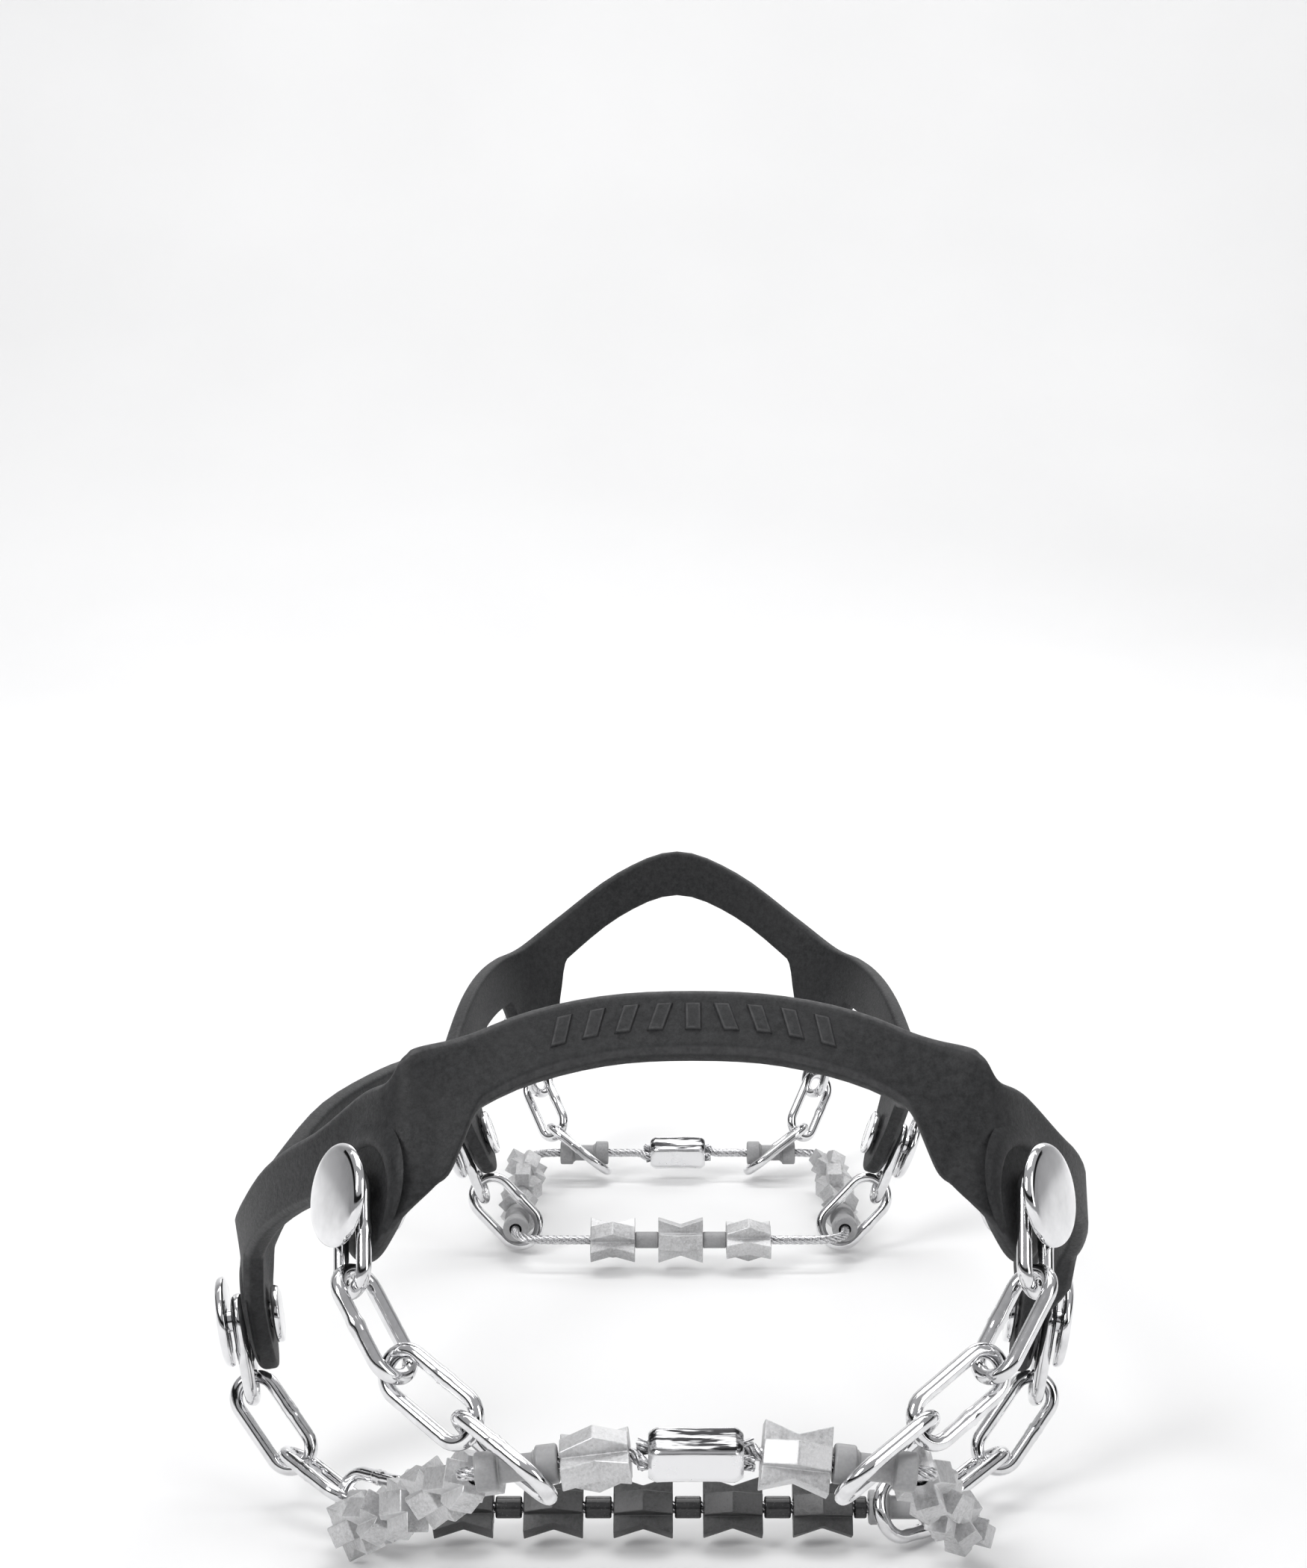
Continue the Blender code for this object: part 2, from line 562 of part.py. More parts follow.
# chains: joint points in mm and the twist of each link after the first, for the left side
CHAINS = {
    "front": ([(-47.3, 18.7, 43.9), (-40.6, 12.7, 33.5), (-30.7, 5.1, 28.0), (-23.7, 0.0, 24.2)],
              (8, 107, 46), (-23.7, 23.7)),
    "mid": ([(-70.9, 81.0, 6.6), (-62.9, 76.7, -3.4), (-53.9, 66.9, -6.1), (-47.5, 60.0, -5.0)],
            (117, 28, 113), (-47.5, 33.3)),
    "arch": ([(-41.6, 218.2, 2.8), (-34.5, 217.0, -4.5)], (117,), (-34.5, 34.5)),
    "rear": ([(-33.3, 285.8, 9.2), (-28.3, 277.5, 0.2), (-21.6, 275.0, -4.5)], (115, 21), (-21.6, 21.6)),
}
link_axes = {}
for key, (joints, twists, waists) in CHAINS.items():
    middle = sum(waists) / 2
    for side in ("left", "right"):
        p, n, _ = places[f"{key}_{side}"]
        pts = [at(*(j if side == "left" else mirrored(j, middle))) for j in joints]
        turn = [math.radians(t if side == "left" else -t) for t in twists]
        link_axes.update(chain(f"{key}_link_{side}", p + n * (LINK_LIFT * MM), n, pts, turn))
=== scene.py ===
"""Looks of the boot ice cleats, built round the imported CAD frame.

Lengths are in millimetres until they go through at() or MM; MM turns them into the frame's metres.
"""
import math
import random

import bmesh
import bpy
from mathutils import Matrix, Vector, noise


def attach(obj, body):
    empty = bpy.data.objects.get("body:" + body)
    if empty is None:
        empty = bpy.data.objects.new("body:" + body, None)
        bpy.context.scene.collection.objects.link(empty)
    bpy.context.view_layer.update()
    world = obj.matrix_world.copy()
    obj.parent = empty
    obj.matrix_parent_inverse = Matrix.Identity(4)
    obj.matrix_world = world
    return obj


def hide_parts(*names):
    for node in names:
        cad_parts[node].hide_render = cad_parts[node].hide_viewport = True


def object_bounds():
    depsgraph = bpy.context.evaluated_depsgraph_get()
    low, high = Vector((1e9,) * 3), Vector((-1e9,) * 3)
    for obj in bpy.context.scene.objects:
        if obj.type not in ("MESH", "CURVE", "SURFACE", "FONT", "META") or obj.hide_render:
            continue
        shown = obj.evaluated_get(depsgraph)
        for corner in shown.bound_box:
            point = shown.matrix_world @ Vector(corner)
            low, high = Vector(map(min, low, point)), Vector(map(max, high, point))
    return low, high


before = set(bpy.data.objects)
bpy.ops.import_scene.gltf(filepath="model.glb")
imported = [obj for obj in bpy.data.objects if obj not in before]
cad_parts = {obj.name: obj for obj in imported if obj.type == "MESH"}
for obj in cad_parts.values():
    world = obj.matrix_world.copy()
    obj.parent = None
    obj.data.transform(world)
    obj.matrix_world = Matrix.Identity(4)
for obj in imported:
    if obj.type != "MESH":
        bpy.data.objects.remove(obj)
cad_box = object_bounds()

MM = 0.001
SOLE_CENTRE_Y = 150.0
X, Y, Z = Vector((1, 0, 0)), Vector((0, 1, 0)), Vector((0, 0, 1))

# --- dimensions shared with the CAD, mm --------------------------------------------------------
BAND_T, BAND_HALF = 3.2, 5.2
SHANK_R, HEAD_R, HEAD_T, HEAD_LIFT = 1.85, 7.3, 1.7, 3.4
FLANGE_R, FLANGE_T, FLANGE_GAP = 4.6, 1.2, 0.6
LINK_LIFT, PIN_PLAY = 1.7, 0.2
WIRE_R, LINK_INNER, LINK_W, RING_W = 1.1, 14.4, 4.5, 6.1
CABLE_R, BORE_R, SPACER_R = 0.95, 1.3, 1.7
BEAD_L, ARM_HALF = 9.2, 1.65
PEAK_MID, PEAK_END, VALLEY_MID, VALLEY_END = 4.3, 2.6, 3.0, 4.5
SPOOL_L, WAIST_L, COLLAR_R, WAIST_R = 11.1, 4.4, 2.65, 1.8
FERRULE_L, FERRULE_R = 12.6, 4.1
LAP, GAP = 1.13, 0.3
LAP_UP = Vector((0, 1, 1)).normalized()
JOINT_REACH = 7.0                    # from a chain joint to the middle of its link

# --- dimensions of the looks only, mm ----------------------------------------------------------
PAD_R, PAD_FADE = 12.5, 5.5          # flat pad round a rivet, and the width over which it fades
FERRULE_TURN = 22.0                  # turn of the barrel's facets about the rope, degrees
TIGHT_CHAINS, TIGHT_SLIM = ("arch", "rear"), 0.06   # chains with the least play, and how much thinner


def at(x, y, z):
    """Station in millimetres to the frame's metres."""
    return Vector((x, y - SOLE_CENTRE_Y, z)) * MM


# --- materials ---------------------------------------------------------------------------------
class Nodes:
    """Short way to write a material's nodes."""

    def __init__(self, name):
        self.mat = bpy.data.materials.new(name)
        self.mat.use_nodes = True
        self.tree = self.mat.node_tree
        self.bsdf = self.tree.nodes["Principled BSDF"]
        self.coords = self.tree.nodes.new("ShaderNodeTexCoord").outputs["Object"]

    def link(self, a, b):
        self.tree.links.new(a, b)

    def noise(self, per_mm, detail=3.0, rough=0.55, squeeze=None):
        n = self.tree.nodes.new("ShaderNodeTexNoise")
        n.inputs["Scale"].default_value = per_mm * 1000
        n.inputs["Detail"].default_value = detail
        n.inputs["Roughness"].default_value = rough
        vector = self.coords
        if squeeze:
            m = self.tree.nodes.new("ShaderNodeMapping")
            m.inputs["Scale"].default_value = squeeze
            self.link(self.coords, m.inputs["Vector"])
            vector = m.outputs["Vector"]
        self.link(vector, n.inputs["Vector"])
        return n.outputs["Fac"]

    def cells(self, per_mm):
        n = self.tree.nodes.new("ShaderNodeTexVoronoi")
        n.inputs["Scale"].default_value = per_mm * 1000
        self.link(self.coords, n.inputs["Vector"])
        return n.outputs["Distance"]

    def ramp(self, fac, stops):
        n = self.tree.nodes.new("ShaderNodeValToRGB")
        items = n.color_ramp.elements
        while len(items) < len(stops):
            items.new(0.5)
        for e, (pos, value) in zip(items, stops):
            e.position = pos
            e.color = (*value, 1.0) if isinstance(value, tuple) else (value, value, value, 1.0)
        self.link(fac, n.inputs["Fac"])
        return n.outputs["Color"]

    def mix(self, fac, a, b, mode="MIX"):
        n = self.tree.nodes.new("ShaderNodeMix")
        n.data_type = "RGBA"
        n.blend_type = mode
        for socket, value in ((n.inputs[0], fac), (n.inputs[6], a), (n.inputs[7], b)):
            if isinstance(value, (int, float)):
                socket.default_value = value
            elif isinstance(value, tuple):
                socket.default_value = (*value, 1.0)
            else:
                self.link(value, socket)
        return n.outputs[2]

    def attribute(self, name):
        n = self.tree.nodes.new("ShaderNodeAttribute")
        n.attribute_name = name
        return n.outputs["Fac"]

    def colour(self, socket):
        self.link(socket, self.bsdf.inputs["Base Color"])

    def roughness(self, socket):
        self.link(socket, self.bsdf.inputs["Roughness"])

    def bump(self, heights):
        """Heights: (socket, strength, distance in mm), chained from coarse to fine."""
        normal = None
        for height, strength, distance in heights:
            n = self.tree.nodes.new("ShaderNodeBump")
            n.inputs["Strength"].default_value = strength
            n.inputs["Distance"].default_value = distance * MM
            self.link(height, n.inputs["Height"])
            if normal:
                self.link(normal, n.inputs["Normal"])
            normal = n.outputs["Normal"]
        self.link(normal, self.bsdf.inputs["Normal"])

    def set(self, **values):
        for key, value in values.items():
            self.bsdf.inputs[key.replace("_", " ")].default_value = value
        return self.mat


def grey(value):
    """Neutral grey with a trace of blue."""
    return (value, value, value * 1.01)


def rubber_material():
    """Fine-grained black rubber, dusty in places and paler where its vertex attribute is high: scuffs, plus
    a painted highlight on the outer corners and collar tops.
    """
    n = Nodes("moulded_rubber")
    fine, coarse, grain = n.noise(2.2, 4.0, 0.7), n.noise(0.09, 3.0), n.noise(0.9, 5.0, 0.8)
    base = n.ramp(grain, [(0.36, (0.0040, 0.0043, 0.0050)), (0.66, (0.024, 0.0245, 0.026))])
    dusty = n.mix(n.ramp(coarse, [(0.42, 0.0), (0.75, 0.35)]), base, (0.024, 0.024, 0.025))
    # pale edges broken into patches by noise: partly scuffing, partly painted highlight where the corners
    # catch the light
    scuff_and_highlight_patches = n.ramp(n.noise(0.8, 4.0, 0.7), [(0.30, 0.25), (0.75, 1.0)])
    edge = n.mix(1.0, n.attribute("wear_and_painted_light"), scuff_and_highlight_patches, "MULTIPLY")
    n.colour(n.mix(edge, dusty, (0.085, 0.085, 0.087)))
    n.roughness(n.ramp(fine, [(0.25, 0.46), (0.75, 0.70)]))
    n.bump([(n.noise(0.35, 2.0), 0.25, 0.18), (grain, 0.45, 0.16), (fine, 0.45, 0.08)])
    return n.set(IOR=1.42)


def bright_metal(name, tint, low, high, smudge, bump):
    """Polished plate with faint smudges, hairline marks and a soft waviness."""
    n = Nodes(name)
    hair = n.noise(3.0, 2.0, 0.6, (1.0, 1.0, 0.08))
    n.colour(n.mix(n.ramp(n.noise(smudge), [(0.40, 0.0), (0.72, 1.0)]), tint, tuple(c * 0.82 for c in tint)))
    n.roughness(n.mix(0.5, n.ramp(n.noise(smudge * 2.2, 4.0), [(0.35, low), (0.70, high)]),
                      n.ramp(hair, [(0.40, low), (0.75, high)])))
    n.bump([(n.noise(0.30, 1.0), bump, 0.12), (hair, bump * 0.5, 0.015)])
    return n.set(Metallic=1.0)


def crimped_steel():
    """Bright swaged barrel with a painted dark reflection, laid in streaks along it, on the one facet the
    vertex attribute marks.
    """
    n = Nodes("crimped_ferrule")
    streak, smudge = n.noise(1.1, 3.0, 0.6, (0.10, 1.0, 1.0)), n.noise(0.45)
    # painted dark reflection: near-black streaks only on the marked facet
    dark = n.mix(1.0, n.attribute("wear_and_painted_light"), n.ramp(streak, [(0.44, 0.0), (0.54, 1.0)]), "MULTIPLY")
    n.colour(n.mix(dark, (0.80, 0.80, 0.81), (0.04, 0.04, 0.042)))
    n.roughness(n.ramp(smudge, [(0.35, 0.10), (0.70, 0.32)]))
    n.bump([(n.noise(0.30, 1.0), 0.5, 0.12), (streak, 0.3, 0.05)])
    return n.set(Metallic=1.0)


def cast_steel(name, shade):
    """Hardened bead: matt, speckled, darker in its pits and paler on its edges."""
    n = Nodes(name)
    speck, pits = n.noise(1.9, 6.0, 0.8), n.cells(1.1)
    base = n.ramp(speck, [(0.36, grey(0.20 * shade)), (0.64, grey(0.60 * shade))])
    cloud = n.mix(n.ramp(n.noise(0.32, 2.0), [(0.38, 0.0), (0.72, 0.5)]), base, grey(0.62 * shade))
    pitted = n.mix(n.ramp(pits, [(0.05, 0.55), (0.22, 0.0)]), cloud, grey(0.15 * shade))
    n.colour(n.mix(n.attribute("wear_and_painted_light"), pitted, grey(0.80 * shade)))
    n.roughness(n.ramp(speck, [(0.28, 0.34), (0.72, 0.60)]))
    n.bump([(n.noise(0.7, 3.0), 0.35, 0.14), (pits, 0.30, 0.06), (speck, 0.45, 0.07)])
    return n.set(Metallic=0.8)


def plastic_sleeve(name, dark, light, rough):
    """Satin moulded plastic."""
    n = Nodes(name)
    fine = n.noise(2.2, 3.0)
    n.colour(n.mix(n.ramp(n.noise(0.25), [(0.35, 0.0), (0.75, 1.0)]),
                   n.ramp(fine, [(0.3, dark), (0.7, light)]), light))
    n.roughness(n.ramp(fine, [(0.3, rough), (0.7, rough + 0.14)]))
    n.bump([(n.noise(0.5, 2.0), 0.12, 0.10), (fine, 0.16, 0.03)])
    return n.set(IOR=1.49)


def rope_steel():
    """Drawn wire with fine marks along it."""
    n = Nodes("rope_steel")
    fine = n.noise(2.5, 3.0)
    n.colour(n.ramp(fine, [(0.3, (0.36, 0.36, 0.37)), (0.7, (0.74, 0.74, 0.75))]))
    n.roughness(n.ramp(fine, [(0.3, 0.20), (0.7, 0.42)]))
    wires = n.noise(6.0, 1.0, 0.5, (0.35, 1.0, 1.0))
    n.bump([(wires, 0.5, 0.06)])
    return n.set(Metallic=1.0)


RUBBER = rubber_material()
CHROME = bright_metal("rivet_chrome", (0.84, 0.84, 0.85), 0.03, 0.11, 0.22, 0.05)
NICKEL = bright_metal("nickel_chain", (0.80, 0.80, 0.81), 0.05, 0.15, 0.35, 0.16)
CRIMP = crimped_steel()
# the second copy, darkened to 0.16, is painted shade for the middle row of beads, which lie in shadow
# beneath the sole
STEEL, PAINTED_SHADE_STEEL = cast_steel("cast_bead_steel", 1.0), cast_steel("painted_shade_bead_steel", 0.16)
ROPE = rope_steel()
GREY = plastic_sleeve("grey_sleeve", (0.235, 0.235, 0.24), (0.315, 0.315, 0.32), 0.30)
BLACK = plastic_sleeve("black_spacer", (0.016, 0.016, 0.017), (0.030, 0.030, 0.031), 0.16)


# --- mesh helpers ------------------------------------------------------------------------------
def piece(name, bm, mat, body, nodes=(), smooth_deg=40.0):
    """Turn a bmesh in metres into a piece that rides on a body and stands for CAD nodes."""
    bmesh.ops.recalc_face_normals(bm, faces=bm.faces[:])
    mesh = bpy.data.meshes.new(name)
    bm.to_mesh(mesh)
    bm.free()
    mesh.shade_smooth()
    mesh.set_sharp_from_angle(angle=math.radians(smooth_deg))
    mesh.materials.append(mat)
    obj = bpy.data.objects.new(name, mesh)
    bpy.context.scene.collection.objects.link(obj)
    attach(obj, body)
    if nodes:
        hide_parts(*nodes)
    return obj


def applied(obj):
    """Bake an object's modifiers into its mesh."""
    bpy.context.view_layer.update()
    done = bpy.data.meshes.new_from_object(obj.evaluated_get(bpy.context.evaluated_depsgraph_get()))
    obj.modifiers.clear()
    obj.data = done
    return obj


def ring_of(bm, points):
    """Vertices of one ring, without faces."""
    return [bm.verts.new(p) for p in points]


def bridge(bm, ring_a, ring_b, shift=0):
    """Faces between two rings of the same length; shift lines their corners up."""
    n = len(ring_a)
    for i in range(n):
        j = (i + 1) % n
        bm.faces.new((ring_a[i], ring_a[j], ring_b[(j + shift) % n], ring_b[(i + shift) % n]))


def axes_for(direction, hint=Z):
    """Two unit vectors square to a direction."""
    d = direction.normalized()
    if abs(d.dot(hint)) > 0.95:
        hint = Y
    u = (hint - d * d.dot(hint)).normalized()
    return u, d.cross(u)


def along(points, closed):
    """Point, tangent and two square vectors at each point, carried without twist."""
    n, out, u = len(points), [], None
    for i, p in enumerate(points):
        if closed:
            tan = (points[(i + 1) % n] - points[i - 1]).normalized()
        else:
            tan = (points[min(i + 1, n - 1)] - points[max(i - 1, 0)]).normalized()
        u = axes_for(tan)[0] if u is None else (u - tan * tan.dot(u)).normalized()
        out.append((p, tan, u, tan.cross(u)))
    return out


def tube(bm, frames, radii, sides, closed):
    """Round bar on frames from along(), one radius in metres for each."""
    rings = []
    for (p, _, u, v), r in zip(frames, radii):
        turns = [2 * math.pi * k / sides for k in range(sides)]
        rings.append(ring_of(bm, [p + (u * math.cos(t) + v * math.sin(t)) * r for t in turns]))
    for a, b in zip(rings, rings[1:]):
        bridge(bm, a, b)
    if closed:
        a, b = rings[-1], rings[0]
        bridge(bm, a, b, min(range(sides), key=lambda k: (a[0].co - b[k].co).length))
    else:
        bm.faces.new(rings[0])
        bm.faces.new(rings[-1])


def turned(bm, origin, axis, outline, sides, closed):
    """Revolve (distance along the axis, radius) pairs, in mm; closed outlines leave a bore."""
    u, v = axes_for(axis)
    d = axis.normalized()
    rings = []
    for s, r in outline:
        turns = [2 * math.pi * k / sides for k in range(sides)]
        rings.append(ring_of(bm, [origin + (d * s + (u * math.cos(t) + v * math.sin(t)) * r) * MM
                                  for t in turns]))
    for a, b in zip(rings, rings[1:]):
        bridge(bm, a, b)
    if closed:
        bridge(bm, rings[-1], rings[0])
    else:
        bm.faces.new(rings[0])
        bm.faces.new(rings[-1])


def arc(centre_s, centre_r, radius, start_deg, end_deg, steps=5):
    """Round corner of a turned outline; 0 degrees points along the axis, 90 outwards."""
    out = []
    for k in range(steps + 1):
        t = math.radians(start_deg + (end_deg - start_deg) * k / steps)
        out.append((centre_s + radius * math.cos(t), centre_r + radius * math.sin(t)))
    return out


# --- rubber band -------------------------------------------------------------------------------
# plan stations, left half from toe to heel: x, y, z of the band's middle, lean of its face in
# degrees, and the right half's own x
BAND_STATIONS = [
    (0.0, 31.5, 78.1, 43, 0.0), (12.7, 31.0, 77.4, 42, 12.7), (24.9, 28.6, 74.6, 37, 24.9),
    (34.4, 25.6, 69.6, 28, 34.4), (40.4, 24.0, 64.8, 18, 40.4), (45.2, 26.2, 59.3, 14, 45.2),
    (49.6, 34.2, 57.0, 9, 49.6), (58.0, 45.6, 52.0, 5, 56.0), (65.2, 57.5, 44.8, 4, 60.4),
    (69.9, 69.0, 36.8, 0, 60.9), (72.3, 80.5, 30.6, -8, 58.1), (72.0, 92.0, 31.0, -4, 57.6),
    (70.0, 108.0, 34.0, 2, 56.4), (65.0, 130.0, 37.5, 2, 53.2), (57.0, 152.0, 38.5, 2, 48.5),
    (52.0, 172.0, 36.0, -2, 48.0), (49.2, 192.0, 31.0, -8, 47.6), (48.8, 206.0, 27.5, -16, 48.4),
    (48.8, 217.0, 26.2, -20, 48.8), (48.6, 229.0, 28.5, -16, 48.6), (47.4, 245.0, 33.0, -8, 47.4),
    (45.2, 262.0, 35.0, -8, 45.2), (41.8, 277.0, 35.5, -13, 41.8), (36.8, 287.6, 36.2, -15, 36.8),
    (28.5, 295.6, 42.0, -8, 28.5), (14.5, 301.6, 52.0, 0, 14.5), (0.0, 303.4, 57.0, 0, 0.0)]
# hanging lobes: station of the rivet, rivet distance below the band's middle, lobe reach, half
# width, shift of the lobe towards the toe, way the rivet faces in degrees round from the toe
LOBES = {"front": (5, 5.6, 15.6, 11.0, 5.0, 59), "mid": (10, 12.0, 21.0, 8.0, 0.0, 85),
         "arch": (18, 13.5, 21.5, 8.0, 0.0, 90), "rear": (23, 16.0, 24.5, 8.0, 0.0, 125)}
FRONT_RISE, RISE_RUN = 6.2, 24.0   # extra height of the band over the front lobes, and its fade
COUNT = 2 * (len(BAND_STATIONS) - 1)
FINE = 32


def smooth_path(points, steps):
    """Closed Catmull-Rom curve with a number of steps from each point to the next."""
    out, n = [], len(points)
    for i in range(n):
        p0, p1, p2, p3 = (points[(i + k - 1) % n] for k in range(4))
        for s in range(steps):
            t = s / steps
            out.append(0.5 * ((2 * p1) + (p2 - p0) * t + (2 * p0 - 5 * p1 + 4 * p2 - p3) * t * t
                              + (3 * p1 - p0 - 3 * p2 + p3) * t ** 3))
    return out


def band_frames():
    """Middle points, outward normals and downward width directions, from toe round the left side."""
    left = [(-s[0], s[1], s[2], s[3]) for s in BAND_STATIONS]
    right = [(s[4], s[1], s[2], s[3]) for s in BAND_STATIONS[1:-1]][::-1]
    ctrl = left + right
    pts = smooth_path([at(*c[:3]) for c in ctrl], FINE)
    leans = smooth_path([Vector((c[3], 0, 0)) for c in ctrl], FINE)
    out, n = [], len(pts)
    for i, p in enumerate(pts):
        tan = pts[(i + FINE // 8) % n] - pts[i - FINE // 8]
        tan.z = 0
        tan.normalize()
        side = Vector((-tan.y, tan.x, 0))
        lean = math.radians(leans[i].x)
        out.append((p, side * math.cos(lean) + Z * math.sin(lean),
                    side * math.sin(lean) - Z * math.cos(lean)))
    return out


FRAMES = band_frames()
RUN = [0.0]
for before, after in zip(FRAMES, FRAMES[1:]):
    RUN.append(RUN[-1] + (after[0] - before[0]).length / MM)
TOTAL = RUN[-1] + (FRAMES[0][0] - FRAMES[-1][0]).length / MM


def gap(a, b):
    """Shorter way round between two distances along the band, mm."""
    return min(abs(a - b), TOTAL - abs(a - b))


def rivet_places():
    """Where each rivet meets the band's face, which way it faces, and down along the face."""
    out = {}
    for lobe, (station, below, _, _, _, turn) in LOBES.items():
        for side, index, s in (("left", station, -1), ("right", COUNT - station, 1)):
            face = Vector((s * math.sin(math.radians(turn)), -math.cos(math.radians(turn)), 0))
            lean = math.radians(BAND_STATIONS[station][3])
            down = face * math.sin(lean) - Z * math.cos(lean)
            out[f"{lobe}_{side}"] = (FRAMES[index * FINE][0] + down * (below * MM),
                                     face * math.cos(lean) + Z * math.sin(lean), down)
    return out


PLACES = rivet_places()
LOBE_RUNS = [(RUN[idx * FINE] + s * shift, reach, half) for st, _, reach, half, shift, _ in LOBES.values()
             for idx, s in ((st, -1), (COUNT - st, 1))]
CORNERS = [RUN[idx * FINE] for idx in (LOBES["front"][0], COUNT - LOBES["front"][0])]


def lobe_depth(d, reach, half):
    """How far a lobe hangs below the band's middle, at a distance along the band from its rivet."""
    if d < half * 0.75:
        return reach - (half - math.sqrt(half ** 2 - d * d)) * 0.9
    edge = lobe_depth(half * 0.749, reach, half)
    f = min(1.0, (d - half * 0.75) / 8.0)
    return edge + (BAND_HALF - edge) * (3 * f * f - 2 * f * f * f)


def band_edges(run):
    """Upper and lower edge of the band at a distance round it."""
    low = max([BAND_HALF] + [lobe_depth(gap(run, c), reach, half) for c, reach, half in LOBE_RUNS])
    f = max(0.0, 1.0 - min(gap(run, c) for c in CORNERS) / RISE_RUN)
    return -BAND_HALF - FRONT_RISE * f * f * (3 - 2 * f), low


def flattened(v, b):
    """Flat pad under each rivet, as in the CAD."""
    for centre, axis, _ in PLACES.values():
        rel = v - centre
        high = rel.dot(axis)
        away = (rel - axis * high).length / MM
        if away < PAD_R and abs(high) < 12 * MM:
            f = min(1.0, (PAD_R - away) / PAD_FADE)
            v = v + axis * ((b * MM - high) * f * f * (3 - 2 * f))
    return v


def band_section(top, low):
    """(across, out, paleness) round the band: rounded corners, the outer lower one the softest; the outer
    corners' paleness is scuffing plus a painted highlight, strongest on the upper one.
    """
    r, soft = 1.0, 1.5                                    # outer corners, above and below
    inner, hem = 0.9, 0.7                                 # inner corners, above and below
    pts = []
    for k in range(7):                                    # inner top corner to outer top corner
        t = math.radians(180 + 90 * k / 6)
        pts.append((top + inner + inner * math.cos(t), -BAND_T + inner + inner * math.sin(t), 0.0))
    pts = pts[::-1]
    # outer top corner: the palest, scuffing plus painted highlight
    for k in range(7):
        t = math.radians(180 - 90 * k / 6)
        pts.append((top + r + r * math.cos(t), -r + r * math.sin(t), 1.0 if 1 < k < 6 else 0.35))
    span = low - soft - (top + r)
    for k in range(1, 16):
        f = k / 16
        pts.append((top + r + span * f, 0.0, 0.0))
    # outer lower corner: scuffing plus a weaker painted highlight
    for k in range(7):
        t = math.radians(90 - 90 * k / 6)
        pts.append((low - soft + soft * math.cos(t), -soft + soft * math.sin(t), 0.55 if 1 < k < 5 else 0.0))
    for k in range(5):
        t = math.radians(0 - 90 * k / 4)
        pts.append((low - hem + hem * math.cos(t), -BAND_T + hem + hem * math.sin(t), 0.0))
    for k in range(1, 8):
        f = k / 8
        pts.append((low - hem + (top + inner - low + hem) * f, -BAND_T, 0.0))
    return pts


def build_band():
    """The whole moulding: rings along its run, closer together at the lobes."""
    n = len(FRAMES)
    bm = bmesh.new()
    wear_and_painted_light = bm.verts.layers.float.new("wear_and_painted_light")
    rings = []
    for i in range(n):
        near = min(gap(RUN[i], c) for c, _, _ in LOBE_RUNS)
        if i % (2 if near < 19 else 8):
            continue
        p, normal, down = FRAMES[i]
        ring = []
        for a, b, w in band_section(*band_edges(RUN[i])):
            v = bm.verts.new(flattened(p + (down * a + normal * b) * MM, b))
            v[wear_and_painted_light] = w
            ring.append(v)
        rings.append(ring)
    for a, b in zip(rings, rings[1:] + rings[:1]):
        bridge(bm, a, b)
    return piece("rubber_band", bm, RUBBER, "band", ["outer_band"], 60.0)


def drill_band(obj):
    """Holes for the rivet shanks."""
    bm = bmesh.new()
    for point, axis, _ in PLACES.values():
        turned(bm, point, axis, [(-9, SHANK_R + GAP), (6, SHANK_R + GAP)], 32, False)
    bmesh.ops.recalc_face_normals(bm, faces=bm.faces[:])
    mesh = bpy.data.meshes.new("hole_cutter")
    bm.to_mesh(mesh)
    bm.free()
    cutter = bpy.data.objects.new("hole_cutter", mesh)
    bpy.context.scene.collection.objects.link(cutter)
    cut = obj.modifiers.new("rivet_holes", "BOOLEAN")
    cut.operation = "DIFFERENCE"
    cut.object = cutter
    applied(obj)
    bpy.data.objects.remove(cutter, do_unlink=True)


def on_band(s, a, b):
    """Point on the band at a signed distance from the toe's middle, across and outwards, mm."""
    run = s % TOTAL
    i = max(k for k in range(len(RUN)) if RUN[k] <= run) if run < RUN[-1] else len(RUN) - 1
    nxt = (i + 1) % len(FRAMES)
    length = (RUN[i + 1] if i + 1 < len(RUN) else TOTAL) - RUN[i]
    f = (run - RUN[i]) / length
    p = FRAMES[i][0].lerp(FRAMES[nxt][0], f)
    normal = FRAMES[i][1].lerp(FRAMES[nxt][1], f).normalized()
    down = FRAMES[i][2].lerp(FRAMES[nxt][2], f).normalized()
    return p + (down * a + normal * b) * MM


def toe_bars():
    """Row of slanted raised grip bars across the toe arch."""
    bars, pitch, width, slant = 9, 4.7, 2.3, 1.5
    high, low, height = -2.7, 1.7, 0.42
    bm = bmesh.new()
    wear_and_painted_light = bm.verts.layers.float.new("wear_and_painted_light")
    for k in range(bars):
        s0 = (k - (bars - 1) / 2) * pitch
        lean = slant * (1 if k > (bars - 1) / 2 else -1 if k < (bars - 1) / 2 else 0)
        rings = []
        for inset, b, w in ((-0.12, -0.5, 0.0), (0.0, 0.0, 0.0), (0.10, height - 0.12, 0.5),
                            (0.24, height, 0.8), (0.5, height + 0.02, 0.1)):
            ring = []
            for cs, ca in ((-1, 0), (1, 0), (1, 1), (-1, 1)):
                a = high + inset if ca == 0 else low - inset
                f = (a - high) / (low - high)
                v = bm.verts.new(on_band(s0 + cs * (width / 2 - inset) + lean * (f - 0.5), a, b))
                v[wear_and_painted_light] = w
                ring.append(v)
            rings.append(ring)
        for a, b in zip(rings, rings[1:]):
            bridge(bm, a, b)
        bm.faces.new(rings[0])
        bm.faces.new(rings[-1])
    return piece("toe_grip_bars", bm, RUBBER, "band", smooth_deg=50.0)


